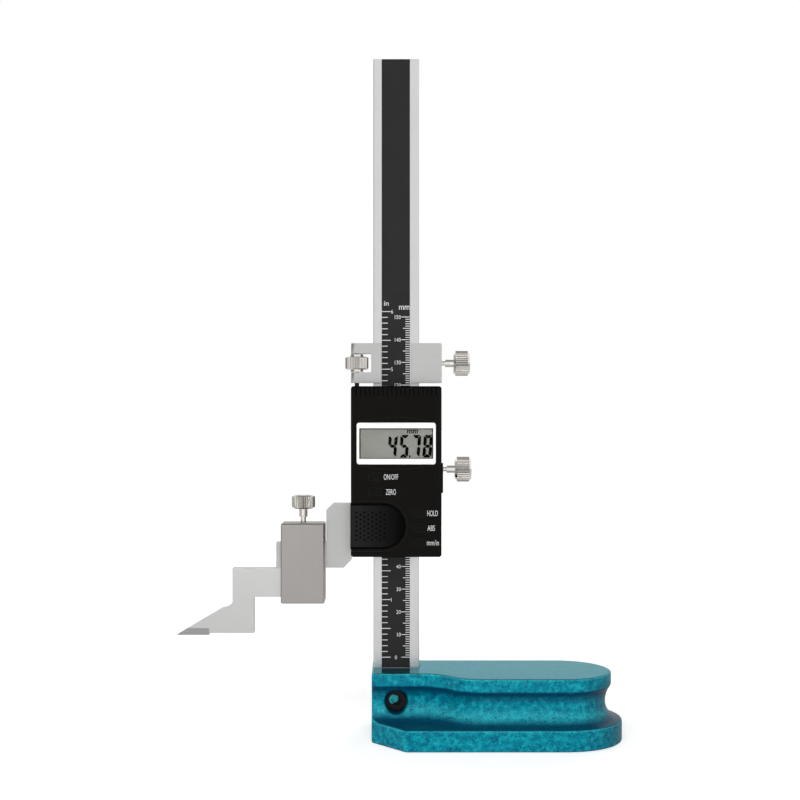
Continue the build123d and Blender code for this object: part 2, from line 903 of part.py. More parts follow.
with BuildPart() as carriage_gib:
    with BuildSketch(right_of(gib_left)):
        span(
            -gib_height / 2,
            gib_height / 2,
            carriage_bottom + carriage_gib_margin,
            carriage_top - carriage_gib_margin,
        )
    extrude(amount=gib_thickness)
finish(carriage_gib, "carriage_gib")

hub_bottom = window_z + wheel_end_gap
hub_top = window_z + window_height - wheel_end_gap
wheel_bottom = (hub_bottom + hub_top - wheel_width) / 2
with BuildPart() as fine_wheel:
    with BuildSketch(above(hub_bottom)):
        with Locations((wheel_x, 0)):
            Circle(wheel_hub_diameter / 2)
    extrude(amount=hub_top - hub_bottom)
    with Locations((wheel_x, 0, wheel_bottom)):
        add(knurled_knob(wheel_diameter, wheel_width, wheel_bevel, wheel_teeth))
    with BuildSketch(above(hub_bottom)):
        with Locations((wheel_x, 0)):
            Circle(rod_diameter / 2 + running_gap)
    extrude(amount=hub_top - hub_bottom, mode=Mode.SUBTRACT)
finish(fine_wheel, "fine_wheel")

with BuildPart() as fine_screw:
    with BuildSketch(above(frame_top - rod_seat)):
        with Locations((wheel_x, 0)):
            Circle(rod_diameter / 2)
    extrude(amount=carriage_top - rod_top_sink - frame_top + rod_seat)
finish(fine_screw, "fine_screw")


# Scriber box clamp: a through hole holds the arm bar above the scriber
with BuildPart() as scriber_clamp:
    with BuildSketch(right_of(clamp_left)):
        span(-clamp_depth / 2, clamp_depth / 2, clamp_bottom, clamp_top)
    extrude(amount=clamp_right - clamp_left)
    chamfer(scriber_clamp.edges(), length=clamp_edge)
    with BuildSketch(right_of(clamp_left)):
        span(
            -arm_thickness / 2 - running_gap,
            arm_thickness / 2 + running_gap,
            clamp_bottom + clamp_floor,
            clamp_hole_top,
        )
    extrude(amount=clamp_right - clamp_left, mode=Mode.SUBTRACT)
    with BuildSketch(above(clamp_top)):
        with Locations((clamp_screw_x, 0)):
            Circle(clamp_thread_diameter / 2 + running_gap)
    extrude(amount=-clamp_roof, mode=Mode.SUBTRACT)
finish(scriber_clamp, "scriber_clamp")

with BuildPart() as clamp_pad:
    with BuildSketch(above(arm_top + running_gap)):
        with Locations((clamp_screw_x, 0)):
            Rectangle(pad_length, pad_width)
    extrude(amount=pad_thickness)
finish(clamp_pad, "clamp_pad")

with BuildPart() as clamp_screw:
    stem_z = clamp_top + clamp_neck_length
    knob_z = stem_z + clamp_stem_length
    with BuildSketch(above(clamp_hole_top)):
        with Locations((clamp_screw_x, 0)):
            Circle(clamp_thread_diameter / 2)
    extrude(amount=stem_z - clamp_hole_top)
    with BuildSketch(above(stem_z)):
        with Locations((clamp_screw_x, 0)):
            Circle(clamp_stem_diameter / 2)
    extrude(amount=clamp_stem_length)
    with Locations((clamp_screw_x, 0, knob_z)):
        add(knurled_knob(clamp_knob_diameter, clamp_knob_length, clamp_knob_bevel, knob_teeth))
finish(clamp_screw, "clamp_screw")


# Scriber with its brazed carbide
scriber_top = arm_bottom - running_gap
tip_z = scriber_top - scriber_leg_drop - scriber_foot_lift
foot_z = tip_z + scriber_foot_lift
shoulder_z = scriber_top - scriber_shoulder_drop
nose_z = scriber_top - scriber_nose_drop
slope = (nose_z - tip_z) / (scriber_nose_x - scriber_tip_x)
carbide_top_x = scriber_tip_x + carbide_height / slope
carbide_top_z = tip_z + carbide_height

with BuildPart() as scriber:
    with BuildSketch(Plane.XZ) as scriber_side:
        with BuildLine():
            Line((scriber_left, shoulder_z), (scriber_left, scriber_top))
            Line((scriber_left, scriber_top), (scriber_right, scriber_top))
            Line((scriber_right, scriber_top), (scriber_right, scriber_top - scriber_arm_height))
            Line(
                (scriber_right, scriber_top - scriber_arm_height),
                (scriber_leg_right, scriber_top - scriber_arm_height),
            )
            Polyline(
                (scriber_leg_right, scriber_top - scriber_arm_height),
                (scriber_leg_right, foot_z),
                (carbide_back, foot_z),
                (carbide_back, carbide_top_z),
                (carbide_top_x, carbide_top_z),
                (scriber_nose_x, nose_z),
            )
            RadiusArc((scriber_nose_x, nose_z), (scriber_left, shoulder_z), -scriber_blend_radius)
        make_face()
    extrude(amount=scriber_thickness / 2, both=True)
finish(scriber, "scriber")

with BuildPart() as carbide_tip:
    with BuildSketch(Plane.XZ):
        with BuildLine():
            Polyline(
                (scriber_tip_x, tip_z),
                (carbide_back, tip_z),
                (carbide_back, carbide_top_z),
                (carbide_top_x, carbide_top_z),
                close=True,
            )
        make_face()
    extrude(amount=scriber_thickness / 2, both=True)
finish(carbide_tip, "carbide_tip")
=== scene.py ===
# %% [markdown]
# # A digital height gauge
# This lesson dresses a finished mechanical model. The frame holds every machined part at its real
# size, and this file adds the finishes, the printing and the softly rounded casting.
# Every step first says what the real piece is, how it could be made here, and why one way was chosen.

# %% Load the frame
import math

import bmesh
import bpy
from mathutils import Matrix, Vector


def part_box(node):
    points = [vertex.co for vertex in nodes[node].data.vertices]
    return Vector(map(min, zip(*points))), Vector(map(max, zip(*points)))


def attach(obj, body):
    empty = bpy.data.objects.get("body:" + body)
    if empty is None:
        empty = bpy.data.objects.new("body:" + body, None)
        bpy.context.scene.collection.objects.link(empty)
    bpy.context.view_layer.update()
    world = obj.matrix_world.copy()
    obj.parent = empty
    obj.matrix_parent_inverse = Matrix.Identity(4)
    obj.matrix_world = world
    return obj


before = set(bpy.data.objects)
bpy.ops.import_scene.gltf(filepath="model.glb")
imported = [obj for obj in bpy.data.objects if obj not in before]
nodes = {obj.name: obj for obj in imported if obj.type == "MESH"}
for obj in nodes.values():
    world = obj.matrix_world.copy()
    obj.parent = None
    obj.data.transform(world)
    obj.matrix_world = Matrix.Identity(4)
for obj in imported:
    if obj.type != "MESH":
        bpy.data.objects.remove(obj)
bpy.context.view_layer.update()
MM = 0.001


def corner_mm(node):
    """Lowest and highest corner of a machined part, in millimetres."""
    low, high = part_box(node)
    return Vector(low) / MM, Vector(high) / MM


# %% [markdown]
# ## Camera
# The photograph looks level at the beam, so no vertical line leans. The printed scale gives the
# pixels per millimetre, and 600 mm is the distance at which nearer pieces come out as much larger as
# they are in the photo. A view without perspective would be simpler and fit only the beam.

# %% Camera
beam_front = corner_mm("beam")[0].y
PHOTO_WIDTH = 800
PIXELS_PER_MM = 2.268
VIEW_DISTANCE = 600.0
EYE_X = 1.63
EYE_Z = 147.6

camera_data = bpy.data.cameras.new("camera")
camera_data.sensor_width = 36.0
camera_data.lens = 36.0 * PIXELS_PER_MM * VIEW_DISTANCE / PHOTO_WIDTH
camera_data.clip_start = 0.01
camera = bpy.data.objects.new("camera", camera_data)
camera.location = Vector((EYE_X, beam_front - VIEW_DISTANCE, EYE_Z)) * MM
camera.rotation_euler = (math.radians(90), 0, 0)
bpy.context.scene.collection.objects.link(camera)
bpy.context.scene.camera = camera
bpy.context.scene.view_settings.view_transform = "Standard"
print("lens", round(camera_data.lens, 2))


# %% [markdown]
# ## Node helpers
# Materials are graphs of small steps, and written out each step takes several lines. A few short
# helpers keep the recipes readable: they add and link nodes, mix colours, turn distances into masks,
# and start a material or a shared group.

# %% Node helpers
def add_node(tree, kind, values=None, **settings):
    """Add a shader node; values are its sockets, settings its own properties."""
    node = tree.nodes.new(kind)
    for key, value in settings.items():
        setattr(node, key, value)
    for key, value in (values or {}).items():
        if isinstance(value, bpy.types.NodeSocket):
            tree.links.new(value, node.inputs[key])
        else:
            node.inputs[key].default_value = value
    return node


def math_node(tree, operation, a, b=0.0, clamp=False):
    node = add_node(tree, "ShaderNodeMath", {0: a, 1: b}, operation=operation, use_clamp=clamp)
    return node.outputs[0]


def fade_mm(tree, value, start, end):
    """0 at start and 1 at end, both in millimetres, for a value in metres."""
    return add_node(
        tree, "ShaderNodeMapRange",
        {"Value": value, "From Min": start * MM, "From Max": end * MM},
    ).outputs[0]


def mix_colour(tree, factor, a, b, blend="MIX"):
    node = add_node(tree, "ShaderNodeMix", data_type="RGBA", blend_type=blend)
    for key, value in ((0, factor), (6, a), (7, b)):
        if isinstance(value, bpy.types.NodeSocket):
            tree.links.new(value, node.inputs[key])
        else:
            node.inputs[key].default_value = value
    return node.outputs[2]


def ramp(tree, factor, stops):
    """Colour ramp through (place, colour) stops."""
    node = add_node(tree, "ShaderNodeValToRGB", {0: factor})
    while len(node.color_ramp.elements) < len(stops):
        node.color_ramp.elements.new(0.5)
    for element, (place, colour) in zip(node.color_ramp.elements, stops):
        element.position = place
        element.color = colour
    return node.outputs[0]


def rgb(r, g, b):
    """Linear colour from the 0 to 255 values that an eye reads off a picture."""
    def linear(value):
        value /= 255
        return value / 12.92 if value <= 0.04045 else ((value + 0.055) / 1.055) ** 2.4
    return (linear(r), linear(g), linear(b), 1.0)


def new_material(name):
    material = bpy.data.materials.new(name)
    material.use_nodes = True
    tree = material.node_tree
    shader = tree.nodes["Principled BSDF"]
    return material, tree, shader


def link(tree, output, shader, socket):
    tree.links.new(output, shader.inputs[socket])


def start_group(name, inputs, outputs):
    """Node group with named inputs (name, kind, default) and outputs (name, kind)."""
    group = bpy.data.node_groups.new(name, "ShaderNodeTree")
    for label, kind, default in inputs:
        socket = group.interface.new_socket(label, in_out="INPUT", socket_type=kind)
        socket.default_value = default
    for label, kind in outputs:
        group.interface.new_socket(label, in_out="OUTPUT", socket_type=kind)
    entry = group.nodes.new("NodeGroupInput")
    leave = group.nodes.new("NodeGroupOutput")
    return group, entry, leave


def use_group(tree, group, **values):
    """Place a group; underscores in the keywords stand for spaces in the socket names."""
    node = tree.nodes.new("ShaderNodeGroup")
    node.node_tree = group
    for key, value in values.items():
        socket = node.inputs[key.replace("_", " ")]
        if isinstance(value, bpy.types.NodeSocket):
            tree.links.new(value, socket)
        else:
            socket.default_value = value
    return node


print("white is", rgb(255, 255, 255)[:3])

# %% [markdown]
# ## Shared effect: ground grain
# Ground steel carries fine parallel scratches from the wheel. Anisotropic shading is one way to
# show them, but the scratches also change tone along their length. Stretched noise does both jobs:
# it gives a tone for the colour, an offset for the roughness and a height for the bump.

# %% Ground grain group
FLOAT, VECTOR = "NodeSocketFloat", "NodeSocketVector"
grain_group, grain_in, grain_out = start_group(
    "ground grain",
    [("Stretch", VECTOR, (1.0, 1.0, 1.0)), ("Fineness", FLOAT, 900.0), ("Cloud Size", FLOAT, 60.0)],
    [("Tone", FLOAT), ("Cloud", FLOAT), ("Height", FLOAT)],
)
place = add_node(grain_group, "ShaderNodeTexCoord")
stretched = add_node(
    grain_group, "ShaderNodeVectorMath",
    {0: place.outputs["Object"], 1: grain_in.outputs["Stretch"]}, operation="MULTIPLY",
)
scratch = add_node(
    grain_group, "ShaderNodeTexNoise",
    {"Vector": stretched.outputs[0], "Scale": grain_in.outputs["Fineness"], "Detail": 4.0,
     "Roughness": 0.65},
)
cloud = add_node(
    grain_group, "ShaderNodeTexNoise",
    {"Vector": place.outputs["Object"], "Scale": grain_in.outputs["Cloud Size"], "Detail": 3.0},
)
grain_group.links.new(scratch.outputs["Fac"], grain_out.inputs["Tone"])
grain_group.links.new(cloud.outputs["Fac"], grain_out.inputs["Cloud"])
grain_group.links.new(scratch.outputs["Fac"], grain_out.inputs["Height"])
print("group", grain_group.name)

# %% [markdown]
# ## Shared effect: edge mask
# Handling polishes metal edges and rubs paint thin. A mask of the edges could be painted by hand, but
# the Bevel node finds them by itself: where its softened normal leaves the true one, there is an
# edge. Noise breaks the line up so that it doesn't look drawn. On the enamel and the black plastics
# the mask also carries a painted highlight along the edges, and on the battery cover a painted shade.

# %% Edge mask group
edge_group, edge_in, edge_out = start_group(
    "edge mask",
    [("Width", FLOAT, 0.0004), ("Breakup", FLOAT, 0.5), ("Breakup Size", FLOAT, 900.0)],
    [("Mask", FLOAT)],
)
soft_normal = add_node(
    edge_group, "ShaderNodeBevel", {"Radius": edge_in.outputs["Width"]}, samples=4
)
true_normal = add_node(edge_group, "ShaderNodeNewGeometry")
alignment = add_node(
    edge_group, "ShaderNodeVectorMath",
    {0: soft_normal.outputs[0], 1: true_normal.outputs["Normal"]}, operation="DOT_PRODUCT",
)
turned = math_node(edge_group, "SUBTRACT", 1.0, alignment.outputs["Value"])
raised = math_node(edge_group, "MULTIPLY", turned, 9.0, clamp=True)
edge_place = add_node(edge_group, "ShaderNodeTexCoord")
specks = add_node(
    edge_group, "ShaderNodeTexNoise",
    {"Vector": edge_place.outputs["Object"], "Scale": edge_in.outputs["Breakup Size"]},
)
kept = math_node(edge_group, "SUBTRACT", specks.outputs["Fac"], 0.5)
kept = math_node(edge_group, "MULTIPLY", kept, edge_in.outputs["Breakup"])
kept = math_node(edge_group, "ADD", kept, 1.0)
mask = math_node(edge_group, "MULTIPLY", raised, kept, clamp=True)
edge_group.links.new(mask, edge_out.inputs["Mask"])
print("group", edge_group.name)


# %% [markdown]
# ## Steels
# Every bright part here is steel, but each was ground in its own way and shows its own grey. One
# function mixes the shared grain into a metal, and each part then gets its own tone, roughness and
# grinding direction. Separate recipes would drift apart; one recipe keeps them a family.

# %% Steel recipe
def steel(name, colour, roughness, stretch, fineness=700.0, tone=0.05, edge=0.25, bump=0.1):
    material, tree, shader = new_material(name)
    grain = use_group(tree, grain_group, Stretch=stretch, Fineness=fineness, Cloud_Size=45.0)
    mask = use_group(tree, edge_group, Width=0.00025, Breakup=0.6)
    darker = tuple(c * (1 - tone) for c in colour[:3]) + (1.0,)
    lighter = tuple(min(1.0, c * (1 + tone)) for c in colour[:3]) + (1.0,)
    ground = mix_colour(tree, grain.outputs["Tone"], darker, lighter)
    bright = tuple(min(1.0, c * 1.25) for c in colour[:3]) + (1.0,)
    edge_amount = math_node(tree, "MULTIPLY", mask.outputs["Mask"], edge)
    link(tree, mix_colour(tree, edge_amount, ground, bright), shader, "Base Color")
    uneven = math_node(tree, "SUBTRACT", grain.outputs["Cloud"], 0.5)
    uneven = math_node(tree, "MULTIPLY", uneven, 0.12)
    streak = math_node(tree, "MULTIPLY", grain.outputs["Tone"], 0.10)
    rough = math_node(tree, "ADD", uneven, streak)
    rough = math_node(tree, "ADD", rough, roughness - 0.05, clamp=True)
    link(tree, rough, shader, "Roughness")
    shader.inputs["Metallic"].default_value = 1.0
    surface = add_node(
        tree, "ShaderNodeBump", {"Strength": bump, "Distance": 0.00002,
                                 "Height": grain.outputs["Height"]},
    )
    link(tree, surface.outputs[0], shader, "Normal")
    return material


ALONG_Z = (1.0, 1.0, 0.02)
ALONG_X = (0.02, 1.0, 1.0)
beam_steel = steel("beam steel", rgb(223, 223, 223), 0.38, ALONG_Z)
carriage_steel = steel("carriage steel", rgb(205, 205, 204), 0.42, ALONG_X)
frame_steel = steel("slider steel", rgb(204, 204, 203), 0.42, ALONG_X)
scriber_steel = steel("scriber steel", rgb(216, 216, 215), 0.36, ALONG_X)
clamp_steel = steel("clamp steel", rgb(182, 178, 175), 0.45, ALONG_Z, tone=0.06)
carbide = steel("carbide", rgb(169, 169, 169), 0.32, ALONG_X, tone=0.08)
print("steels", 6)

# %% [markdown]
# ## Shared effect: darker knurl roots
# A knurl is darker between its teeth. The edge mask can't tell a root from a crest, but the distance
# from the knob's axis can: the root circle is dark, the crest circle has the plating's full colour,
# and everything inside the root circle is plain turned metal.

# %% Knurl root group
knurl_group, knurl_in, knurl_out = start_group(
    "knurl root tone",
    [("Axis Point", VECTOR, (0.0, 0.0, 0.0)), ("Across", VECTOR, (1.0, 1.0, 0.0)),
     ("Root", FLOAT, 0.005), ("Crest", FLOAT, 0.0053)],
    [("Crest Share", FLOAT)],
)
knurl_place = add_node(knurl_group, "ShaderNodeTexCoord").outputs["Object"]
from_axis = add_node(knurl_group, "ShaderNodeVectorMath",
                     {0: knurl_place, 1: knurl_in.outputs["Axis Point"]}, operation="SUBTRACT")
from_axis = add_node(knurl_group, "ShaderNodeVectorMath",
                     {0: from_axis.outputs[0], 1: knurl_in.outputs["Across"]},
                     operation="MULTIPLY")
reach = add_node(knurl_group, "ShaderNodeVectorMath", {0: from_axis.outputs[0]},
                 operation="LENGTH").outputs["Value"]
climb = add_node(knurl_group, "ShaderNodeMapRange",
                 {"Value": reach, "From Min": knurl_in.outputs["Root"],
                  "From Max": knurl_in.outputs["Crest"]}).outputs[0]
inside = math_node(knurl_group, "LESS_THAN", reach, knurl_in.outputs["Root"])
knurl_group.links.new(math_node(knurl_group, "MAXIMUM", climb, inside),
                      knurl_out.inputs["Crest Share"])
print("group", knurl_group.name)

# %% [markdown]
# ## Nickel on the knurled knobs
# The knobs are turned, knurled and nickel plated, so they are brighter and a little warm. Each knob
# has its own axis and diameter, which its machined solid gives, so a function makes one finish per
# knob from the shared effects.

# %% Nickel
KNURL_DEPTH = 0.3


def nickel(name, along, tone=1.0, root_grey=80):
    """Plating for one knob; along is the axis it turns about, X or Z."""
    low, high = corner_mm(name)
    radius = (high.z - low.z if along == "X" else high.x - low.x) / 2
    material, tree, shader = new_material(f"nickel {name}")
    across = (0.0, 1.0, 1.0) if along == "X" else (1.0, 1.0, 0.0)
    knurl = use_group(
        tree, knurl_group, Axis_Point=tuple((low + high) / 2 * MM), Across=across,
        Root=(radius - KNURL_DEPTH - 0.01) * MM, Crest=(radius - 0.1) * MM,
    )
    grain = use_group(tree, grain_group, Stretch=(1.0, 1.0, 1.0), Fineness=2500.0,
                      Cloud_Size=300.0)
    plating = mix_colour(tree, grain.outputs["Cloud"], rgb(200 * tone, 196 * tone, 189 * tone),
                         rgb(230 * tone, 227 * tone, 221 * tone))
    # darker at the roots of the teeth, the plating's own colour at the crests
    plating = mix_colour(tree, knurl.outputs["Crest Share"], rgb(root_grey, root_grey - 3, root_grey - 8),
                         plating)
    link(tree, plating, shader, "Base Color")
    rough = math_node(tree, "MULTIPLY", grain.outputs["Tone"], 0.2)
    link(tree, math_node(tree, "ADD", rough, 0.08), shader, "Roughness")
    shader.inputs["Metallic"].default_value = 1.0
    return material


print("nickel for knurls", KNURL_DEPTH, "mm deep")

# %% [markdown]
# ## Hammertone enamel: the pattern
# The casting wears a two-tone stoving enamel: a bright teal that has crawled over a dark blue and
# left a net of fine specks. A photo of the paint would not wrap round the groove, so the pattern is
# grown from noise: fine noise for the specks, slow noise to gather them, and a soft cloud under both.

# %% Enamel pattern
enamel, enamel_tree, enamel_shader = new_material("teal enamel")
enamel_place = add_node(enamel_tree, "ShaderNodeTexCoord").outputs["Object"]


def enamel_noise(scale, detail, roughness):
    return add_node(
        enamel_tree, "ShaderNodeTexNoise",
        {"Vector": enamel_place, "Scale": scale, "Detail": detail, "Roughness": roughness},
    ).outputs["Fac"]


def enamel_share(value, share):
    return math_node(enamel_tree, "MULTIPLY", value, share)


cloud_noise = enamel_noise(420.0, 4.0, 0.6)
speck_noise = enamel_noise(1900.0, 3.0, 0.7)
gather_noise = enamel_noise(200.0, 3.0, 0.6)
speck_level = math_node(enamel_tree, "ADD", speck_noise, enamel_share(gather_noise, 0.22))
speck_level = math_node(enamel_tree, "ADD", speck_level, enamel_share(cloud_noise, 0.18))
specks = ramp(enamel_tree, speck_level, [(0.57, (1, 1, 1, 1)), (0.68, (0, 0, 0, 1))])
print("enamel grown from", 3, "noises")

# %% [markdown]
# ## Hammertone enamel: painted shade and highlight
# Under the lip, on the flat of the groove and round the end, a dark blue is painted in as shade, and
# on the slope in between a light teal as a painted highlight. A mask for this could be painted by
# hand, but the direction of the surface picks these places out. The deck is told by its height alone.

# %% Enamel masks
DECK_TOP = corner_mm("base_casting")[1].z
RIM_BELOW_DECK = 2.0
height = add_node(enamel_tree, "ShaderNodeSeparateXYZ", {0: enamel_place}).outputs["Z"]
deck_mask = fade_mm(enamel_tree, height, DECK_TOP - 0.30, DECK_TOP - 0.12)
below_rim = fade_mm(enamel_tree, height, DECK_TOP - RIM_BELOW_DECK, DECK_TOP - RIM_BELOW_DECK - 1.5)


def slope_mask(axis, start, end):
    """0 where the surface's direction along an axis is start, 1 where it is end."""
    facing = add_node(enamel_tree, "ShaderNodeTexCoord").outputs["Normal"]
    facing = add_node(enamel_tree, "ShaderNodeSeparateXYZ", {0: facing}).outputs[axis]
    return add_node(enamel_tree, "ShaderNodeMapRange",
                    {"Value": facing, "From Min": start, "From Max": end}).outputs[0]


# painted highlight: a light teal where the surface tilts a little upward
slope_highlight_mask = enamel_share(slope_mask("Z", 0.1, 0.4), 0.34)
# painted shade: under the lip, on the groove's flat and round the rounded end
overhang, shelf = slope_mask("Z", -0.12, -0.5), slope_mask("Z", 0.5, 0.85)
rounded_end = enamel_share(slope_mask("X", 0.4, 0.9), 0.4)
painted_shade_mask = math_node(enamel_tree, "ADD", overhang, shelf)
painted_shade_mask = math_node(enamel_tree, "ADD", painted_shade_mask, rounded_end, clamp=True)
painted_shade_mask = math_node(enamel_tree, "MULTIPLY", painted_shade_mask, below_rim)
print("deck at", round(DECK_TOP, 2), "mm")

# %% [markdown]
# ## Hammertone enamel: its colours
# The colours go on in turn: teal, the painted highlight on the slope, the specks, the painted shade
# and the painted highlight along the edges. The deck was ground after painting and only tinted, so
# its colour covers all of them there. One picture of all layers would be quicker to make and hopeless
# to change.

# %% Enamel colour
PAINTED_SHADE_SHOWN = 0.9
SPECKS_SHOWN = 0.82
EDGE_HIGHLIGHT_SHOWN = 0.3
painted = ramp(
    enamel_tree, cloud_noise,
    [(0.34, rgb(0, 114, 138)), (0.52, rgb(4, 140, 160)), (0.68, rgb(28, 166, 180))],
)
# painted highlight on the slope
painted = mix_colour(enamel_tree, slope_highlight_mask, painted, rgb(66, 204, 212))
painted = mix_colour(enamel_tree, enamel_share(specks, SPECKS_SHOWN), painted, rgb(0, 68, 98))
# painted shade in dark blue
painted = mix_colour(enamel_tree, enamel_share(painted_shade_mask, PAINTED_SHADE_SHOWN), painted, rgb(0, 52, 84))
# painted highlight along the edges, in a lighter teal
enamel_edge_highlight = use_group(enamel_tree, edge_group, Width=0.0009, Breakup=1.2, Breakup_Size=700.0)
painted = mix_colour(enamel_tree, enamel_share(enamel_edge_highlight.outputs["Mask"], EDGE_HIGHLIGHT_SHOWN), painted,
                     rgb(44, 178, 192))
deck_grain = use_group(enamel_tree, grain_group, Stretch=(1.0, 0.35, 1.0), Fineness=320.0,
                       Cloud_Size=60.0)
deck_colour = mix_colour(enamel_tree, deck_grain.outputs["Cloud"], rgb(55, 131, 142),
                         rgb(82, 145, 153))
painted = mix_colour(enamel_tree, deck_mask, painted, deck_colour)
link(enamel_tree, painted, enamel_shader, "Base Color")
print("enamel colours mixed")

# %% [markdown]
# ## Hammertone enamel: gloss and relief
# The enamel is a soft gloss with a little lacquer, and its dark specks lie a little deeper than the
# teal. The ground deck is nearly flat, has no lacquer and counts as metal, so it mirrors the beam in
# teal. Two materials would need a cut in the mesh; one that the deck's mask changes needs none.

# %% Enamel surface
LACQUER = 0.18
RELIEF, DECK_SMOOTHED = 0.4, 0.36
enamel_rough = math_node(enamel_tree, "ADD", enamel_share(cloud_noise, 0.3), 0.2)
enamel_rough = math_node(enamel_tree, "SUBTRACT", enamel_rough, enamel_share(deck_mask, 0.2))
link(enamel_tree, enamel_rough, enamel_shader, "Roughness")
link(enamel_tree, enamel_share(deck_mask, 0.8), enamel_shader, "Metallic")
lacquer = math_node(enamel_tree, "SUBTRACT", LACQUER, enamel_share(deck_mask, LACQUER))
link(enamel_tree, lacquer, enamel_shader, "Coat Weight")
relief = math_node(enamel_tree, "SUBTRACT", RELIEF, enamel_share(deck_mask, DECK_SMOOTHED))
enamel_bump = add_node(enamel_tree, "ShaderNodeBump",
                       {"Strength": relief, "Distance": 0.00025, "Height": speck_level})
link(enamel_tree, enamel_bump.outputs[0], enamel_shader, "Normal")
enamel_shader.inputs["Coat Roughness"].default_value = 0.22
enamel_shader.inputs["Specular IOR Level"].default_value = 0.04
enamel_shader.inputs["Specular Tint"].default_value = rgb(187, 222, 230)
print("material", enamel.name)

# %% [markdown]
# ## Shared effect: hollow mask
# The dimples of the battery cover and the grooves between the housing's ribs are so narrow that
# hardly any light comes back out of them. Ambient occlusion could find them, but it is noisy and
# slow. Both lie just behind a flat front face, so their depth below that face is mask enough.

# %% Hollow mask group
hollow_group, hollow_in, hollow_out = start_group(
    "hollow mask", [("Face", FLOAT, 0.0), ("Bottom", FLOAT, 0.0)], [("Mask", FLOAT)],
)
hollow_place = add_node(hollow_group, "ShaderNodeTexCoord").outputs["Object"]
hollow_place = add_node(hollow_group, "ShaderNodeSeparateXYZ", {0: hollow_place}).outputs
depth = math_node(hollow_group, "SUBTRACT", hollow_place["Y"], hollow_in.outputs["Face"])
climbed = math_node(hollow_group, "SUBTRACT", hollow_place["Z"], hollow_in.outputs["Bottom"])
sunk = math_node(hollow_group, "MULTIPLY", fade_mm(hollow_group, depth, 0.01, 0.08),
                 fade_mm(hollow_group, depth, 0.75, 0.65))
sunk = math_node(hollow_group, "MULTIPLY", sunk, fade_mm(hollow_group, climbed, 0.0, 0.1))
hollow_group.links.new(sunk, hollow_out.inputs["Mask"])
print("group", hollow_group.name)

# %% [markdown]
# ## Plastics, rubber and the rest
# The housing is black plastic with the faint grain of its mould. A function with a grain size and a
# sheen covers every moulded part, so that black, white and grey pieces differ only where they do in
# life. An edge tint for wear, painted highlight and painted shade, a painted light fade along the
# part and painted shade in the hollows are added only where a part has them.

# %% Moulded finish
DEEP_SHADE = rgb(1, 1, 1)


def moulded(name, colour, roughness, grain_size=1800.0, grain_depth=0.25, edge_wear_and_painted_light=None, metallic=0.0,
            specular=0.5, painted_light_fade=None, hollow=None):
    """painted_light_fade is (x start, x end, colour there), a painted light gradient along X; hollow
    is (y of the face, z from which it counts).
    """
    material, tree, shader = new_material(name)
    grain = use_group(tree, grain_group, Stretch=(1.0, 1.0, 1.0), Fineness=grain_size,
                      Cloud_Size=120.0)
    darker = tuple(c * 0.88 for c in colour[:3]) + (1.0,)
    lighter = tuple(min(1.0, c * 1.12) for c in colour[:3]) + (1.0,)
    tinted = mix_colour(tree, grain.outputs["Cloud"], darker, lighter)
    # painted light: a gradient along X
    if painted_light_fade:
        spot = add_node(tree, "ShaderNodeTexCoord").outputs["Object"]
        along = add_node(tree, "ShaderNodeSeparateXYZ", {0: spot}).outputs["X"]
        tinted = mix_colour(tree, fade_mm(tree, along, painted_light_fade[0], painted_light_fade[1]), tinted, painted_light_fade[2])
    # edge tint: lighter edges are wear and painted highlight, the cover's dark edges are painted
    # shade
    if edge_wear_and_painted_light:
        mask = use_group(tree, edge_group, Width=0.0003, Breakup=1.0)
        edge_light_share = math_node(tree, "MULTIPLY", mask.outputs["Mask"], 0.5)
        tinted = mix_colour(tree, edge_light_share, tinted, edge_wear_and_painted_light)
    if hollow:
        sunk = use_group(tree, hollow_group, Face=hollow[0] * MM, Bottom=hollow[1] * MM)
        tinted = mix_colour(tree, sunk.outputs["Mask"], tinted, DEEP_SHADE)
    link(tree, tinted, shader, "Base Color")
    rough = math_node(tree, "MULTIPLY", grain.outputs["Tone"], 0.16)
    rough = math_node(tree, "ADD", rough, roughness - 0.08, clamp=True)
    link(tree, rough, shader, "Roughness")
    shader.inputs["Metallic"].default_value = metallic
    shader.inputs["Specular IOR Level"].default_value = specular
    surface = add_node(
        tree, "ShaderNodeBump",
        {"Strength": grain_depth, "Distance": 0.00003, "Height": grain.outputs["Height"]},
    )
    link(tree, surface.outputs[0], shader, "Normal")
    return material


print("hollows go down to", [round(c, 4) for c in DEEP_SHADE[:3]])

# %% [markdown]
# ## Blacks of the housing
# The shell, its cover and its keys come out of different moulds and aren't equally black. The cover
# has a painted light gradient, grey at its left end and black at its right end. A lamp could be
# placed for that, but it would change everything else too, so the painted light is in the cover's
# finish. The side strip, the shell and the keys carry painted highlight along their edges, the cover
# painted shade.

# %% Blacks of the housing
RIB_HEIGHT = 5.5
COVER_FADE_BORDER = 3.0
cover_low, cover_high = corner_mm("battery_cover")
shell_low, shell_high = corner_mm("housing_shell")
# the edge tints of the side strip, the shell and the keys are painted highlight
housing_black = moulded("housing black", rgb(12, 11, 9), 0.4, edge_wear_and_painted_light=rgb(38, 36, 34), specular=0.06)
shell_black = moulded("shell black", rgb(12, 11, 9), 0.4, edge_wear_and_painted_light=rgb(54, 52, 50), specular=0.06,
                      hollow=(shell_low.y, shell_high.z - RIB_HEIGHT))
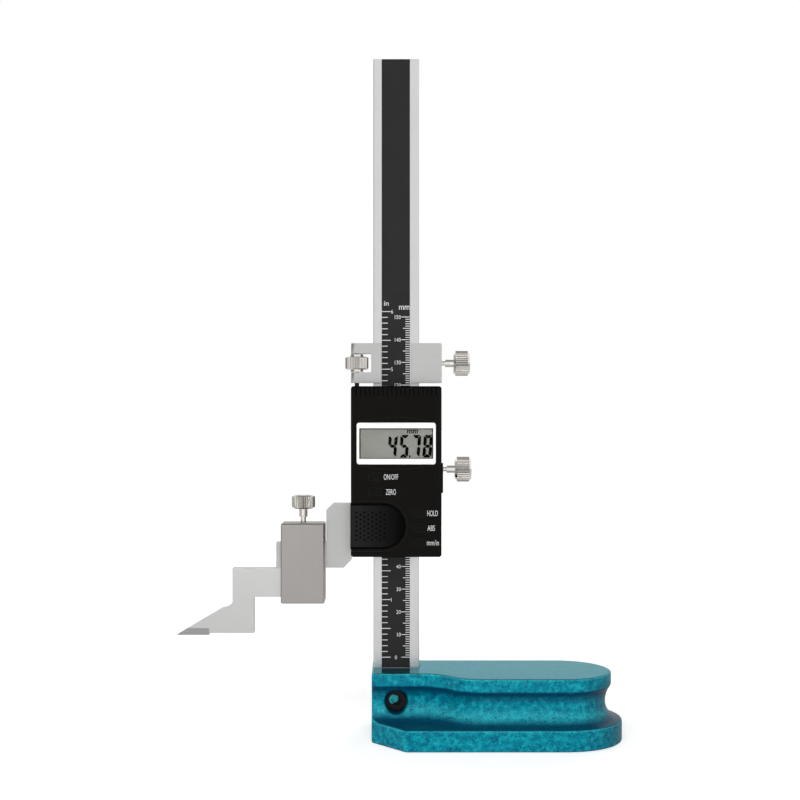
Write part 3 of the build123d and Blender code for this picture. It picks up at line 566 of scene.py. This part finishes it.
# the cover's dark edge tint is painted shade along its edges and dimple rims
cover_black = moulded(
    "cover black", rgb(32, 32, 32), 0.3, edge_wear_and_painted_light=rgb(3, 3, 3), specular=0.03,
    # painted light: grey at the left end, fading to black at the right
    painted_light_fade=(cover_low.x + COVER_FADE_BORDER, cover_high.x - COVER_FADE_BORDER, rgb(3, 3, 3)),
    hollow=(cover_low.y, cover_low.z),
)
key_black = moulded("key black", rgb(15, 17, 15), 0.5, grain_size=2600.0, specular=0.05,
                    edge_wear_and_painted_light=rgb(44, 46, 44))
print("housing blacks", 4)

# %% [markdown]
# ## Display, prints and inner parts
# The white print and the display's greys are seen; the rubber, the board and the springs only show
# when a part is slid away or taken off. A plain colour would do for those, but the same function
# gives them the same grain for nothing.

# %% Display, prints and inner parts
strip_black = moulded("strip black", rgb(38, 38, 38), 0.6, grain_size=3000.0, grain_depth=0.1,
                      specular=0.15)
print_white = moulded("print white", rgb(222, 222, 222), 0.5, grain_depth=0.05)
bezel_white = moulded("bezel white", rgb(247, 247, 246), 0.3, grain_depth=0.08)
lcd_grey = moulded("lcd grey", rgb(141, 142, 136), 0.4, grain_size=4000.0, grain_depth=0.04,
                   specular=0.0)
lcd_ink = moulded("lcd ink", rgb(4, 4, 3), 0.5, grain_depth=0.02, specular=0.0)
# painted shadow for the dark gap between the display's frame and its panel
lcd_edge_shadow = moulded("lcd edge shadow", rgb(62, 63, 58), 0.5, grain_depth=0.02, specular=0.0)
rubber_grey = moulded("rubber grey", rgb(118, 118, 118), 0.7)
board_green = moulded("board green", rgb(28, 96, 52), 0.35)
black_oxide = moulded("black oxide", rgb(34, 34, 36), 0.36, metallic=0.7, edge_wear_and_painted_light=rgb(90, 90, 92))
bronze = moulded("bronze", rgb(186, 142, 84), 0.35, metallic=1.0)
bright_steel = moulded("bright screws", rgb(190, 190, 190), 0.25, metallic=1.0)
print("moulded and small finishes", 11)

# %% [markdown]
# ## A teal patch on the screw
# The black head of the base's screw shows a round teal patch near its middle. A second object could
# stand for the patch, but a patch in the screw's own material can't come loose. The patch sits a
# little left of and above the axis, as in the photo, and noise frays it.

# %% Screw with teal patch
PATCH_RADIUS = 2.1
PATCH_LEFT, PATCH_UP = 1.1, 0.4
head_low, head_high = corner_mm("base_clamp_screw")
screw_black, screw_tree, screw_shader = new_material("screw with teal patch")
screw_spot = add_node(screw_tree, "ShaderNodeTexCoord").outputs["Object"]
screw_spot = add_node(screw_tree, "ShaderNodeVectorMath", {0: screw_spot, 1: (1.0, 0.0, 1.0)},
                      operation="MULTIPLY").outputs[0]
patch_centre = Vector(((head_low.x + head_high.x) / 2 - PATCH_LEFT, 0.0,
                       (head_low.z + head_high.z) / 2 + PATCH_UP)) * MM
patch_reach = add_node(screw_tree, "ShaderNodeVectorMath", {0: screw_spot, 1: patch_centre},
                       operation="DISTANCE").outputs["Value"]
# a round teal patch, left of and above the axis
teal_patch = fade_mm(screw_tree, patch_reach, PATCH_RADIUS, PATCH_RADIUS - 0.3)
screw_grain = use_group(screw_tree, grain_group, Stretch=(1.0, 1.0, 1.0), Fineness=1500.0,
                        Cloud_Size=500.0)
patchy = math_node(screw_tree, "MULTIPLY", teal_patch, screw_grain.outputs["Cloud"])
patchy = math_node(screw_tree, "MULTIPLY", patchy, 2.0, clamp=True)
link(screw_tree, mix_colour(screw_tree, patchy, rgb(16, 16, 18), rgb(42, 165, 178)), screw_shader,
     "Base Color")
link(screw_tree, screw_grain.outputs["Tone"], screw_shader, "Roughness")
screw_shader.inputs["Specular IOR Level"].default_value = 0.2
print("material", screw_black.name)

# %% [markdown]
# ## The display's window
# The window is a thin clear sheet. As full glass it bends and scatters every ray, which makes the
# digits under it noisy, so most of it is left open by its alpha and only a fifth of it acts as
# glass. Light that is on its way to the panel, and shadows, pass it freely.

# %% Window
WINDOW_BODY = 0.2
window_clear, window_tree, window_shader = new_material("window clear")
for socket, value in (("Base Color", (1.0, 1.0, 1.0, 1.0)), ("Roughness", 0.0), ("Metallic", 0.0),
                      ("Transmission Weight", 1.0), ("IOR", 1.2)):
    window_shader.inputs[socket].default_value = value
window_rays = add_node(window_tree, "ShaderNodeLightPath").outputs
let_through = math_node(window_tree, "MAXIMUM", window_rays["Is Shadow Ray"],
                        window_rays["Is Diffuse Ray"])
solid = math_node(window_tree, "SUBTRACT", 1.0, let_through)
link(window_tree, math_node(window_tree, "MULTIPLY", solid, WINDOW_BODY), window_shader, "Alpha")
print("window body", WINDOW_BODY)

# %% [markdown]
# ## Dress the machined parts
# Every part got its finish before the gauge was put together: it was ground, plated, moulded or
# painted. The finishes could be handed out by clicking, but a list of parts and finishes is easy to
# check, and its last line counts whether any part was left bare.

# %% Dress the machined parts
finishes = {
    "base_casting": enamel, "base_clamp_screw": screw_black, "beam": beam_steel,
    "scale_strip": strip_black, "slider_frame": frame_steel, "slider_back_plate": frame_steel,
    "slider_gib": bronze, "gib_screws": black_oxide,
    "side_strip": housing_black, "sensor_board": board_green, "housing_shell": shell_black,
    "lcd_bezel": bezel_white, "lcd_window": window_clear,
    "lcd_panel": lcd_grey, "connector_strip": rubber_grey, "key_mat": rubber_grey,
    "coin_cell": bright_steel, "contact_minus": bronze, "contact_plus": bronze,
    "fine_screw": black_oxide, "battery_cover": cover_black,
    "slider_lock_screw": nickel("slider_lock_screw", "X", 1.1, 140),
    "fine_carriage": carriage_steel, "carriage_gib": bronze,
    "fine_wheel": nickel("fine_wheel", "Z", 1.1, 170),
    "carriage_lock_screw": nickel("carriage_lock_screw", "X", 1.1, 140),
    "scriber_clamp": clamp_steel, "clamp_pad": frame_steel,
    "clamp_screw": nickel("clamp_screw", "Z", 1.1, 165), "scriber": scriber_steel,
    "carbide_tip": carbide,
}
for key in ("on_off", "zero", "hold", "abs", "unit"):
    finishes[f"button_{key}"] = key_black
for name, material in finishes.items():
    nodes[name].data.materials.clear()
    nodes[name].data.materials.append(material)
print("dressed", len(finishes), "of", len(nodes))

# %% [markdown]
# ## Broken edges
# No machined or moulded edge is perfectly sharp: each shows a fine bright line. The edges could be
# broken in the machined model, but a bevel on the visual copy keeps the exact solids exact. The
# meshes arrive with every face cut loose and each flat face in triangles, so a weld joins them and a
# dissolve makes the flat faces whole before the bevel.

# %% Bevels on machined parts
WELD_REACH = 0.002
FLAT_WITHIN = 0.5


def break_edges(name, width, segments=2, angle=35.0):
    piece = nodes[name]
    weld = piece.modifiers.new("weld", "WELD")
    weld.merge_threshold = WELD_REACH * MM
    flat = piece.modifiers.new("flat faces", "DECIMATE")
    flat.decimate_type = "DISSOLVE"
    flat.angle_limit = math.radians(FLAT_WITHIN)
    bevel = piece.modifiers.new("edge break", "BEVEL")
    bevel.width = width * MM
    bevel.segments = segments
    bevel.limit_method = "ANGLE"
    bevel.angle_limit = math.radians(angle)
    bevel.use_clamp_overlap = True
    bevel.harden_normals = True


for name, width in (
    ("beam", 0.12), ("slider_frame", 0.15), ("slider_back_plate", 0.15), ("housing_shell", 0.18),
    ("side_strip", 0.15), ("lcd_bezel", 0.15), ("battery_cover", 0.05), ("fine_carriage", 0.15),
    ("scriber_clamp", 0.15), ("scriber", 0.12), ("carbide_tip", 0.05),
):
    break_edges(name, width)
for key in ("on_off", "zero", "hold", "abs", "unit"):
    break_edges(f"button_{key}", 0.15)
print("bevelled parts ready")

# %% [markdown]
# ## Cast softness
# A casting has no crisp edge anywhere: the sand, the fettling and two coats of enamel round them
# all. Bevelling a swept groove edge by edge is fragile, so the base is cut into fine voxels and
# smoothed instead, which rounds every edge by the same soft amount.

# %% Soft casting
VOXEL = 0.45
base = nodes["base_casting"]
voxels = base.modifiers.new("voxels", "REMESH")
voxels.mode = "VOXEL"
voxels.voxel_size = VOXEL * MM
voxels.use_smooth_shade = True
soften = base.modifiers.new("soften", "SMOOTH")
soften.factor = 0.5
soften.iterations = 8
print("voxel size", VOXEL)

# %% [markdown]
# ## Printing helpers
# Graduations are thin layers of paint. They could be a texture, but real geometry stays sharp at any
# distance and exports as it is. Flat prisms make them, a few hundredths of a millimetre proud, and
# every printed piece rides on the body that carries it.

# %% Printing helpers
PRINT_DEPTH = 0.02


def link_object(name, mesh, material, body):
    """Put a mesh in the scene, give it its finish and let it ride on a body."""
    piece = bpy.data.objects.new(name, mesh)
    bpy.context.scene.collection.objects.link(piece)
    mesh.materials.clear()
    mesh.materials.append(material)
    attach(piece, body)
    return piece


def add_prism(builder, outline, front_y, depth=PRINT_DEPTH):
    """Add an upright prism to a bmesh: its outline in X and Z, its front face at front_y."""
    front = [builder.verts.new(Vector((x, front_y, z)) * MM) for x, z in outline]
    back = [builder.verts.new(Vector((x, front_y + depth, z)) * MM) for x, z in outline]
    builder.faces.new(front)
    builder.faces.new(list(reversed(back)))
    count = len(outline)
    for i in range(count):
        j = (i + 1) % count
        builder.faces.new((front[j], front[i], back[i], back[j]))


def bar(x_low, x_high, z_low, z_high):
    return [(x_low, z_low), (x_high, z_low), (x_high, z_high), (x_low, z_high)]


def mesh_from(builder, name):
    bmesh.ops.recalc_face_normals(builder, faces=builder.faces)
    mesh = bpy.data.meshes.new(name)
    builder.to_mesh(mesh)
    builder.free()
    return mesh


print("print depth", PRINT_DEPTH)

# %% [markdown]
# ## Lettering
# Numbers and words are printed in a plain, rather narrow lettering. Drawing each letter from bars
# would be slow, so the font's outlines are turned into a mesh and squeezed to the printed size.

# %% Lettering
CAP_SHARE = 0.73
DIGIT_SQUEEZE = 0.86


def add_text(builder, words, x, z, height, front_y, align="LEFT", bold=0.0, width=None):
    """Add lettering to a bmesh: x is the aligned edge, z the middle. A width fits the whole word
    to a box of that width and height; without one, the height is that of the capitals."""
    curve = bpy.data.curves.new("lettering", "FONT")
    curve.body = words
    curve.resolution_u = 3
    curve.offset = bold
    curve.extrude = 0.5
    letters = bpy.data.objects.new("lettering", curve)
    bpy.context.scene.collection.objects.link(letters)
    bpy.context.view_layer.update()
    mesh = bpy.data.meshes.new_from_object(letters)
    xs = [v.co.x for v in mesh.vertices]
    ys = [v.co.y for v in mesh.vertices]
    low_x, low_y, tall = min(xs), 0.0, CAP_SHARE
    if width is None:
        width = (max(xs) - low_x) * height * DIGIT_SQUEEZE / CAP_SHARE
    else:
        low_y, tall = min(ys), max(ys) - min(ys)
    start = {"LEFT": x, "RIGHT": x - width, "CENTER": x - width / 2}[align]
    for vertex in mesh.vertices:
        across = start + (vertex.co.x - low_x) * width / (max(xs) - low_x)
        up = z - height / 2 + (vertex.co.y - low_y) * height / tall
        layer = front_y + (PRINT_DEPTH if vertex.co.z < 0 else 0.0)
        vertex.co = Vector((across, layer, up)) * MM
    builder.from_mesh(mesh)
    bpy.data.objects.remove(letters)
    bpy.data.curves.remove(curve)
    bpy.data.meshes.remove(mesh)


print("lettering capitals are", CAP_SHARE, "of the font's size")

# %% [markdown]
# ## Graduations
# The beam's scale is millimetres on the right and tenths of an inch on the left, both counted from
# one zero line a few millimetres above the deck. Placing two hundred lines one by one would invite
# mistakes. Each line's length follows from its place in the count, so two loops print them all.

# %% Graduations
ZERO_Z = 34.2
INCH = 25.4
MM_COUNT, INCH_TENTHS = 150, 60
LINE_WIDTH, LINE_MARGIN = 0.3, 0.02
strip_low, strip_high = corner_mm("scale_strip")
print_front = strip_low.y - PRINT_DEPTH
lines = bmesh.new()


def scale_line(x_low, x_high, z):
    add_prism(lines, bar(x_low, x_high, z - LINE_WIDTH / 2, z + LINE_WIDTH / 2), print_front)


for count in range(MM_COUNT + 1):
    length = 3.75 if count % 10 == 0 else 3.0 if count % 5 == 0 else 1.9
    scale_line(strip_high.x - length, strip_high.x - LINE_MARGIN, ZERO_Z + count)
for count in range(INCH_TENTHS + 1):
    length = 3.9 if count % 5 == 0 else 2.6
    scale_line(strip_low.x + LINE_MARGIN, strip_low.x + length, ZERO_Z + count * INCH / 10)
link_object("scale_lines", mesh_from(lines, "scale_lines"), print_white, "base")
print("lines", MM_COUNT + INCH_TENTHS + 2)

# %% [markdown]
# ## Scale numbers
# A number stands at every tenth millimetre line and at every whole inch, and each column has its
# unit at the top. Typing the numbers one by one would work too, but the count that placed the lines
# also names them.

# %% Scale numbers
NUMBER_HEIGHT = 1.75
numbers = bmesh.new()
for count in range(10, MM_COUNT + 1, 10):
    add_text(numbers, str(count), 1.95, ZERO_Z + count, NUMBER_HEIGHT, print_front, "RIGHT")
for inch in range(1, INCH_TENTHS // 10 + 1):
    add_text(numbers, str(inch), -2.3, ZERO_Z + inch * INCH, NUMBER_HEIGHT, print_front)
add_text(numbers, "0", -0.15, ZERO_Z, NUMBER_HEIGHT, print_front, "CENTER")
add_text(numbers, "in", -5.41, 190.2, 2.1, print_front, width=2.04)
add_text(numbers, "mm", 1.2, 188.3, 1.75, print_front, width=4.6)
link_object("scale_numbers", mesh_from(numbers, "scale_numbers"), print_white, "base")
print("numbers", MM_COUNT // 10 + INCH_TENTHS // 10 + 1)

# %% [markdown]
# ## The reading: bars
# A display's digit is seven bars with pointed or mitred ends. A font would give rounder shapes, so a
# bar is built between two points of the digit's skeleton, as wide as the stroke, with a thin gap
# left at each end. Where two bars meet at a corner of the digit, their outer sides run on into it.

# %% Bars
DIGIT_WIDTH, DIGIT_HEIGHT, DIGIT_STROKE = 3.95, 9.8, 1.42
BAR_GAP = 0.09
CORNER_SHARE = 0.5


def bar_outline(ax, az, bx, bz, outer=0, mitred=(False, False)):
    """Bar between two points of the digit's skeleton. Its ends are pointed, except that a mitred
    end runs on towards the digit's corner, on the side that outer names: 1 left of its way, -1
    right."""
    along = Vector((bx - ax, bz - az)).normalized()
    across = Vector((-along.y, along.x)) * DIGIT_STROKE / 2
    start = Vector((ax, az)) + along * BAR_GAP
    end = Vector((bx, bz)) - along * BAR_GAP
    inset = along * DIGIT_STROKE / 2
    corner = inset * -CORNER_SHARE
    near = {side: start + (corner if mitred[0] and side == outer else inset) + across * side
            for side in (1, -1)}
    far = {side: end - (corner if mitred[1] and side == outer else inset) + across * side
           for side in (1, -1)}
    return [start, near[-1], far[-1], end, far[1], near[1]]


half = DIGIT_STROKE / 2
left, right = half, DIGIT_WIDTH - half
foot, middle, top = half, DIGIT_HEIGHT / 2, DIGIT_HEIGHT - half
BARS = {
    "a": (left, top, right, top, 1, (True, True)),
    "b": (right, middle, right, top, -1, (False, True)),
    "c": (right, foot, right, middle, -1, (True, False)),
    "d": (left, foot, right, foot, -1, (True, True)),
    "e": (left, foot, left, middle, 1, (True, False)),
    "f": (left, middle, left, top, 1, (False, True)),
    "g": (left, middle, right, middle),
}
print("bars", len(BARS))

# %% [markdown]
# ## The reading: 45.78
# The liquid crystal shows 45.78, leaning by a few degrees, and a small upright mm above it. Four
# drawn shapes would do for one reading, but a table of words that says which bars light is as short,
# and changing the reading then takes one word.

# %% Display digits
DIGIT_LEAN = math.tan(math.radians(4.5))
DIGIT_PITCH, DIGIT_BASE, DIGITS_RIGHT = 5.07, 122.65, 15.2
LIT = {"4": "bcfg", "5": "acdfg", "7": "abc", "8": "abcdefg"}
panel_front = corner_mm("lcd_panel")[0].y


def lean(points, x):
    return [(x + p[0] + p[1] * DIGIT_LEAN, DIGIT_BASE + p[1]) for p in points]


ink_front = panel_front - PRINT_DEPTH
digits = bmesh.new()
for place, digit in enumerate(reversed("4578")):
    x = DIGITS_RIGHT - DIGIT_WIDTH - place * DIGIT_PITCH
    for bar_name in LIT[digit]:
        add_prism(digits, lean(bar_outline(*BARS[bar_name]), x), ink_front)
point_x = DIGITS_RIGHT - 2 * DIGIT_PITCH + 0.35
add_prism(digits, lean([(0, 0.1), (0.75, 0.1), (0.75, 0.95), (0, 0.95)], point_x), ink_front)
add_text(digits, "mm", 4.7, 133.9, 1.62, ink_front, bold=0.025, width=4.8)
link_object("display_digits", mesh_from(digits, "display_digits"), lcd_ink, "slider")
print("digits", 4)

# %% [markdown]
# ## The display's dark edges
# Between the white frame and the grey panel lies a narrow gap in full shade, which the photo shows as
# a thin dark line. A modelled gap that narrow would hardly stay dark, so four thin bars in a darker
# grey, a painted shadow, lie round the panel's rim, and the one at the bottom is the thinnest.

# %% Display edges
glass_low, glass_high = corner_mm("lcd_window")
EDGE_LINE, UNDER_FRAME = 0.5, 0.1
EDGE_DEPTH = 0.01
edge_shadow_lines = bmesh.new()
for outline in (
    bar(glass_low.x - UNDER_FRAME, glass_low.x + EDGE_LINE, glass_low.z, glass_high.z),
    bar(glass_high.x - EDGE_LINE, glass_high.x + UNDER_FRAME, glass_low.z, glass_high.z),
    bar(glass_low.x, glass_high.x, glass_high.z - EDGE_LINE, glass_high.z + UNDER_FRAME),
    bar(glass_low.x, glass_high.x, glass_low.z - UNDER_FRAME, glass_low.z + EDGE_LINE / 2),
):
    # painted shadow round the panel's rim
    add_prism(edge_shadow_lines, outline, panel_front - EDGE_DEPTH, EDGE_DEPTH)
link_object("display_edge_shadow", mesh_from(edge_shadow_lines, "display_edge_shadow"), lcd_edge_shadow, "slider")
print("edge lines", 4)

# %% [markdown]
# ## Key labels
# The labels are printed in white beside the keys. Their heights could be read off the photo one by
# one, but each key's machined solid gives the height of its own label, so no label can drift away.

# %% Key labels
label_front = shell_low.y - PRINT_DEPTH
labels = bmesh.new()
LABEL_HEIGHT = 2.4
for key, words, x, width in (
    ("on_off", "ON/OFF", -5.4, 6.25), ("zero", "ZERO", -4.5, 4.4), ("hold", "HOLD", 13.4, 4.65),
    ("abs", "ABS", 13.5, 3.25), ("unit", "mm/in", 13.3, 5.15),
):
    low, high = corner_mm(f"button_{key}")
    add_text(labels, words, x, (low.z + high.z) / 2, LABEL_HEIGHT, label_front, bold=-0.004,
             width=width)
link_object("key_labels", mesh_from(labels, "key_labels"), print_white, "slider")
print("labels", 5)

# %% [markdown]
# ## Small screws at the back
# The photo doesn't show the back, but a slider of this kind is held together by small cross-slotted
# screws there: four hold the back plate and four the housing. They could be machined solids, but at
# this size two stacked discs and a dark cross are enough; the dark cross is painted shade standing
# for the slot.

# %% Small screws
plate_low, plate_high = corner_mm("slider_back_plate")
frame_back = corner_mm("slider_frame")[1].y
SCREW_FROM_END, PLATE_SCREW_IN, FRAME_SCREW_OUT = 3.2, 3.0, 2.3
HEAD_SIDES = 28
RIM_DEPTH, CROWN_DEPTH, CROSS_DEPTH = 0.55, 0.2, 0.015
CROSS_PROUD = 0.01


def disc(x, z, radius):
    turns = [2 * math.pi * i / HEAD_SIDES for i in range(HEAD_SIDES)]
    return [(x + radius * math.cos(a), z + radius * math.sin(a)) for a in turns]


def add_head(heads, slot_shades, x, back, z, radius):
    add_prism(heads, disc(x, z, radius), back, RIM_DEPTH)
    add_prism(heads, disc(x, z, radius * 0.82), back + RIM_DEPTH, CROWN_DEPTH)
    arm, half_wide = radius * 0.6, radius * 0.13
    cross_start = back + RIM_DEPTH + CROWN_DEPTH + CROSS_PROUD - CROSS_DEPTH
    # a dark cross proud of the crown: painted shade for the cross slot
    for outline in (bar(x - arm, x + arm, z - half_wide, z + half_wide),
                    bar(x - half_wide, x + half_wide, z - arm, z + arm)):
        add_prism(slot_shades, outline, cross_start, CROSS_DEPTH)


heads, slot_shades = bmesh.new(), bmesh.new()
for side in (-1, 1):
    for z in (plate_low.z + SCREW_FROM_END, plate_high.z - SCREW_FROM_END):
        add_head(heads, slot_shades, side * (plate_high.x - PLATE_SCREW_IN), plate_high.y, z, 1.6)
        add_head(heads, slot_shades, side * (plate_high.x + FRAME_SCREW_OUT), frame_back, z, 1.4)
link_object("screw_heads", mesh_from(heads, "screw_heads"), bright_steel, "slider")
link_object("screw_slot_shades", mesh_from(slot_shades, "screw_slot_shades"), black_oxide, "slider")
print("screws", 8)

# %% [markdown]
# ## The white tent
# A small instrument is photographed in a white tent, and its metal mirrors that tent: white in front,
# dark on the left, where a black card would stand, and darker above. A picture of a studio would do
# the same, but a few numbers are easier to tune. The tent lights the gauge only weakly by itself.

# %% Tent
TENT_LIGHT, TENT_FRONT, TENT_CARD, TENT_ROOF = 0.3, 0.98, 0.16, 0.3
CARD_EDGE, ROOF_EDGE = (-0.92, -0.62), (0.5, 0.85)
scene = bpy.context.scene
world = bpy.data.worlds.new("tent")
scene.world = world
world.use_nodes = True
sky = world.node_tree
sky.nodes.clear()
rays = add_node(sky, "ShaderNodeLightPath")
seen = math_node(sky, "MAXIMUM", rays.outputs["Is Camera Ray"], rays.outputs["Is Transmission Ray"])
direction = add_node(sky, "ShaderNodeTexCoord").outputs["Generated"]
sideways = add_node(sky, "ShaderNodeSeparateXYZ", {0: direction}).outputs["X"]
card = add_node(
    sky, "ShaderNodeMapRange",
    {"Value": sideways, "From Min": CARD_EDGE[0], "From Max": CARD_EDGE[1], "To Min": TENT_CARD,
     "To Max": TENT_FRONT},
).outputs[0]
upward = add_node(sky, "ShaderNodeSeparateXYZ", {0: direction}).outputs["Z"]
roof = add_node(
    sky, "ShaderNodeMapRange",
    {"Value": upward, "From Min": ROOF_EDGE[0], "From Max": ROOF_EDGE[1], "To Min": 1.0,
     "To Max": TENT_ROOF},
).outputs[0]
tent_light = add_node(sky, "ShaderNodeBackground", {"Strength": TENT_LIGHT})
tent_glow = add_node(sky, "ShaderNodeBackground",
                     {"Strength": math_node(sky, "MULTIPLY", card, roof)})
tent_white = add_node(sky, "ShaderNodeBackground", {"Strength": 1.0})
for shade in (tent_light, tent_glow, tent_white):
    shade.inputs["Color"].default_value = (1.0, 1.0, 1.0, 1.0)
glossy = add_node(
    sky, "ShaderNodeMixShader",
    {0: rays.outputs["Is Glossy Ray"], 1: tent_light.outputs[0], 2: tent_glow.outputs[0]},
)
backdrop = add_node(sky, "ShaderNodeMixShader",
                    {0: seen, 1: glossy.outputs[0], 2: tent_white.outputs[0]})
add_node(sky, "ShaderNodeOutputWorld", {0: backdrop.outputs[0]})
print("tent front", TENT_FRONT, "card", TENT_CARD)

# %% [markdown]
# ## Lamps
# Most of the light comes from a large soft panel behind the camera. Weaker panels stand on the left
# and behind the gauge, and a strip hangs above, so the groove's hollows fall into shade. Bare bulbs
# would draw hard shadows. The metal doesn't mirror the lamps, or their edges would streak the knobs.

# %% Lamps
def softbox(name, place, target, size, power):
    """A soft panel at a place in metres, turned to its target, with its power in watts."""
    light = bpy.data.lights.new(name, "AREA")
    light.shape = "RECTANGLE"
    light.size, light.size_y = size
    light.energy = power
    lamp = bpy.data.objects.new(name, light)
    lamp.location = place
    aim = Vector(target) - Vector(place)
    lamp.rotation_euler = aim.to_track_quat("-Z", "Y").to_euler()
    lamp.visible_glossy = False
    scene.collection.objects.link(lamp)


softbox("front_panel", (-0.1, -1.0, 0.2), (0.0, 0.0, 0.12), (0.7, 0.5), 6.2)
softbox("left_panel", (-0.9, -0.3, 0.5), (0.0, 0.0, 0.12), (0.4, 0.6), 1.2)
softbox("back_panel", (0.5, 0.9, 0.6), (0.0, 0.0, 0.12), (0.6, 0.5), 2.5)
softbox("top_strip", (-0.1, -0.6, 0.75), (0.0, 0.0, 0.05), (0.5, 0.12), 1.1)
print("lamps", 4)

# %% [markdown]
# ## Floor
# The photo's floor is white paper with no end and no horizon. Paper lit that brightly would flood the
# gauge from below, so the paper glows for the camera alone, also through the clear window, and less
# near the gauge, where that keeps the soft shadow. The metal mirrors it only faintly.

# %% Floor
FLOOR_HALF = 6.0
FLOOR_NEAR, FLOOR_FAR = 0.5, 0.8
GLOW_FROM, GLOW_TO = 0.1, 0.5
FLOOR_MIRRORED = 0.1
floor_mesh = bpy.data.meshes.new("floor")
floor_mesh.from_pydata(
    [(-FLOOR_HALF, -FLOOR_HALF, 0), (FLOOR_HALF, -FLOOR_HALF, 0), (FLOOR_HALF, FLOOR_HALF, 0),
     (-FLOOR_HALF, FLOOR_HALF, 0)], [], [(0, 1, 2, 3)],
)
floor = bpy.data.objects.new("floor", floor_mesh)
floor.location.z = -0.0001
scene.collection.objects.link(floor)
floor_finish, floor_tree, floor_shader = new_material("floor")
floor_shader.inputs["Base Color"].default_value = (0.94, 0.94, 0.94, 1.0)
floor_shader.inputs["Roughness"].default_value = 0.9
floor_shader.inputs["Specular IOR Level"].default_value = 0.0
floor_rays = add_node(floor_tree, "ShaderNodeLightPath")
floor_seen = math_node(floor_tree, "MAXIMUM", floor_rays.outputs["Is Camera Ray"],
                       floor_rays.outputs["Is Transmission Ray"])
floor_mirrored = math_node(floor_tree, "MULTIPLY", floor_rays.outputs["Is Glossy Ray"],
                           FLOOR_MIRRORED)
floor_spot = add_node(floor_tree, "ShaderNodeTexCoord").outputs["Object"]
floor_reach = add_node(floor_tree, "ShaderNodeVectorMath", {0: floor_spot}, operation="LENGTH")
floor_glow = add_node(
    floor_tree, "ShaderNodeMapRange",
    {"Value": floor_reach.outputs["Value"], "From Min": GLOW_FROM, "From Max": GLOW_TO,
     "To Min": FLOOR_NEAR, "To Max": FLOOR_FAR},
).outputs[0]
floor_lift = math_node(floor_tree, "MULTIPLY", floor_seen, floor_glow)
floor_lift = math_node(floor_tree, "ADD", floor_lift, floor_mirrored)
link(floor_tree, floor_lift, floor_shader, "Emission Strength")
floor_shader.inputs["Emission Color"].default_value = (1.0, 1.0, 1.0, 1.0)
floor_mesh.materials.append(floor_finish)
print("floor", 2 * FLOOR_HALF, "m wide")
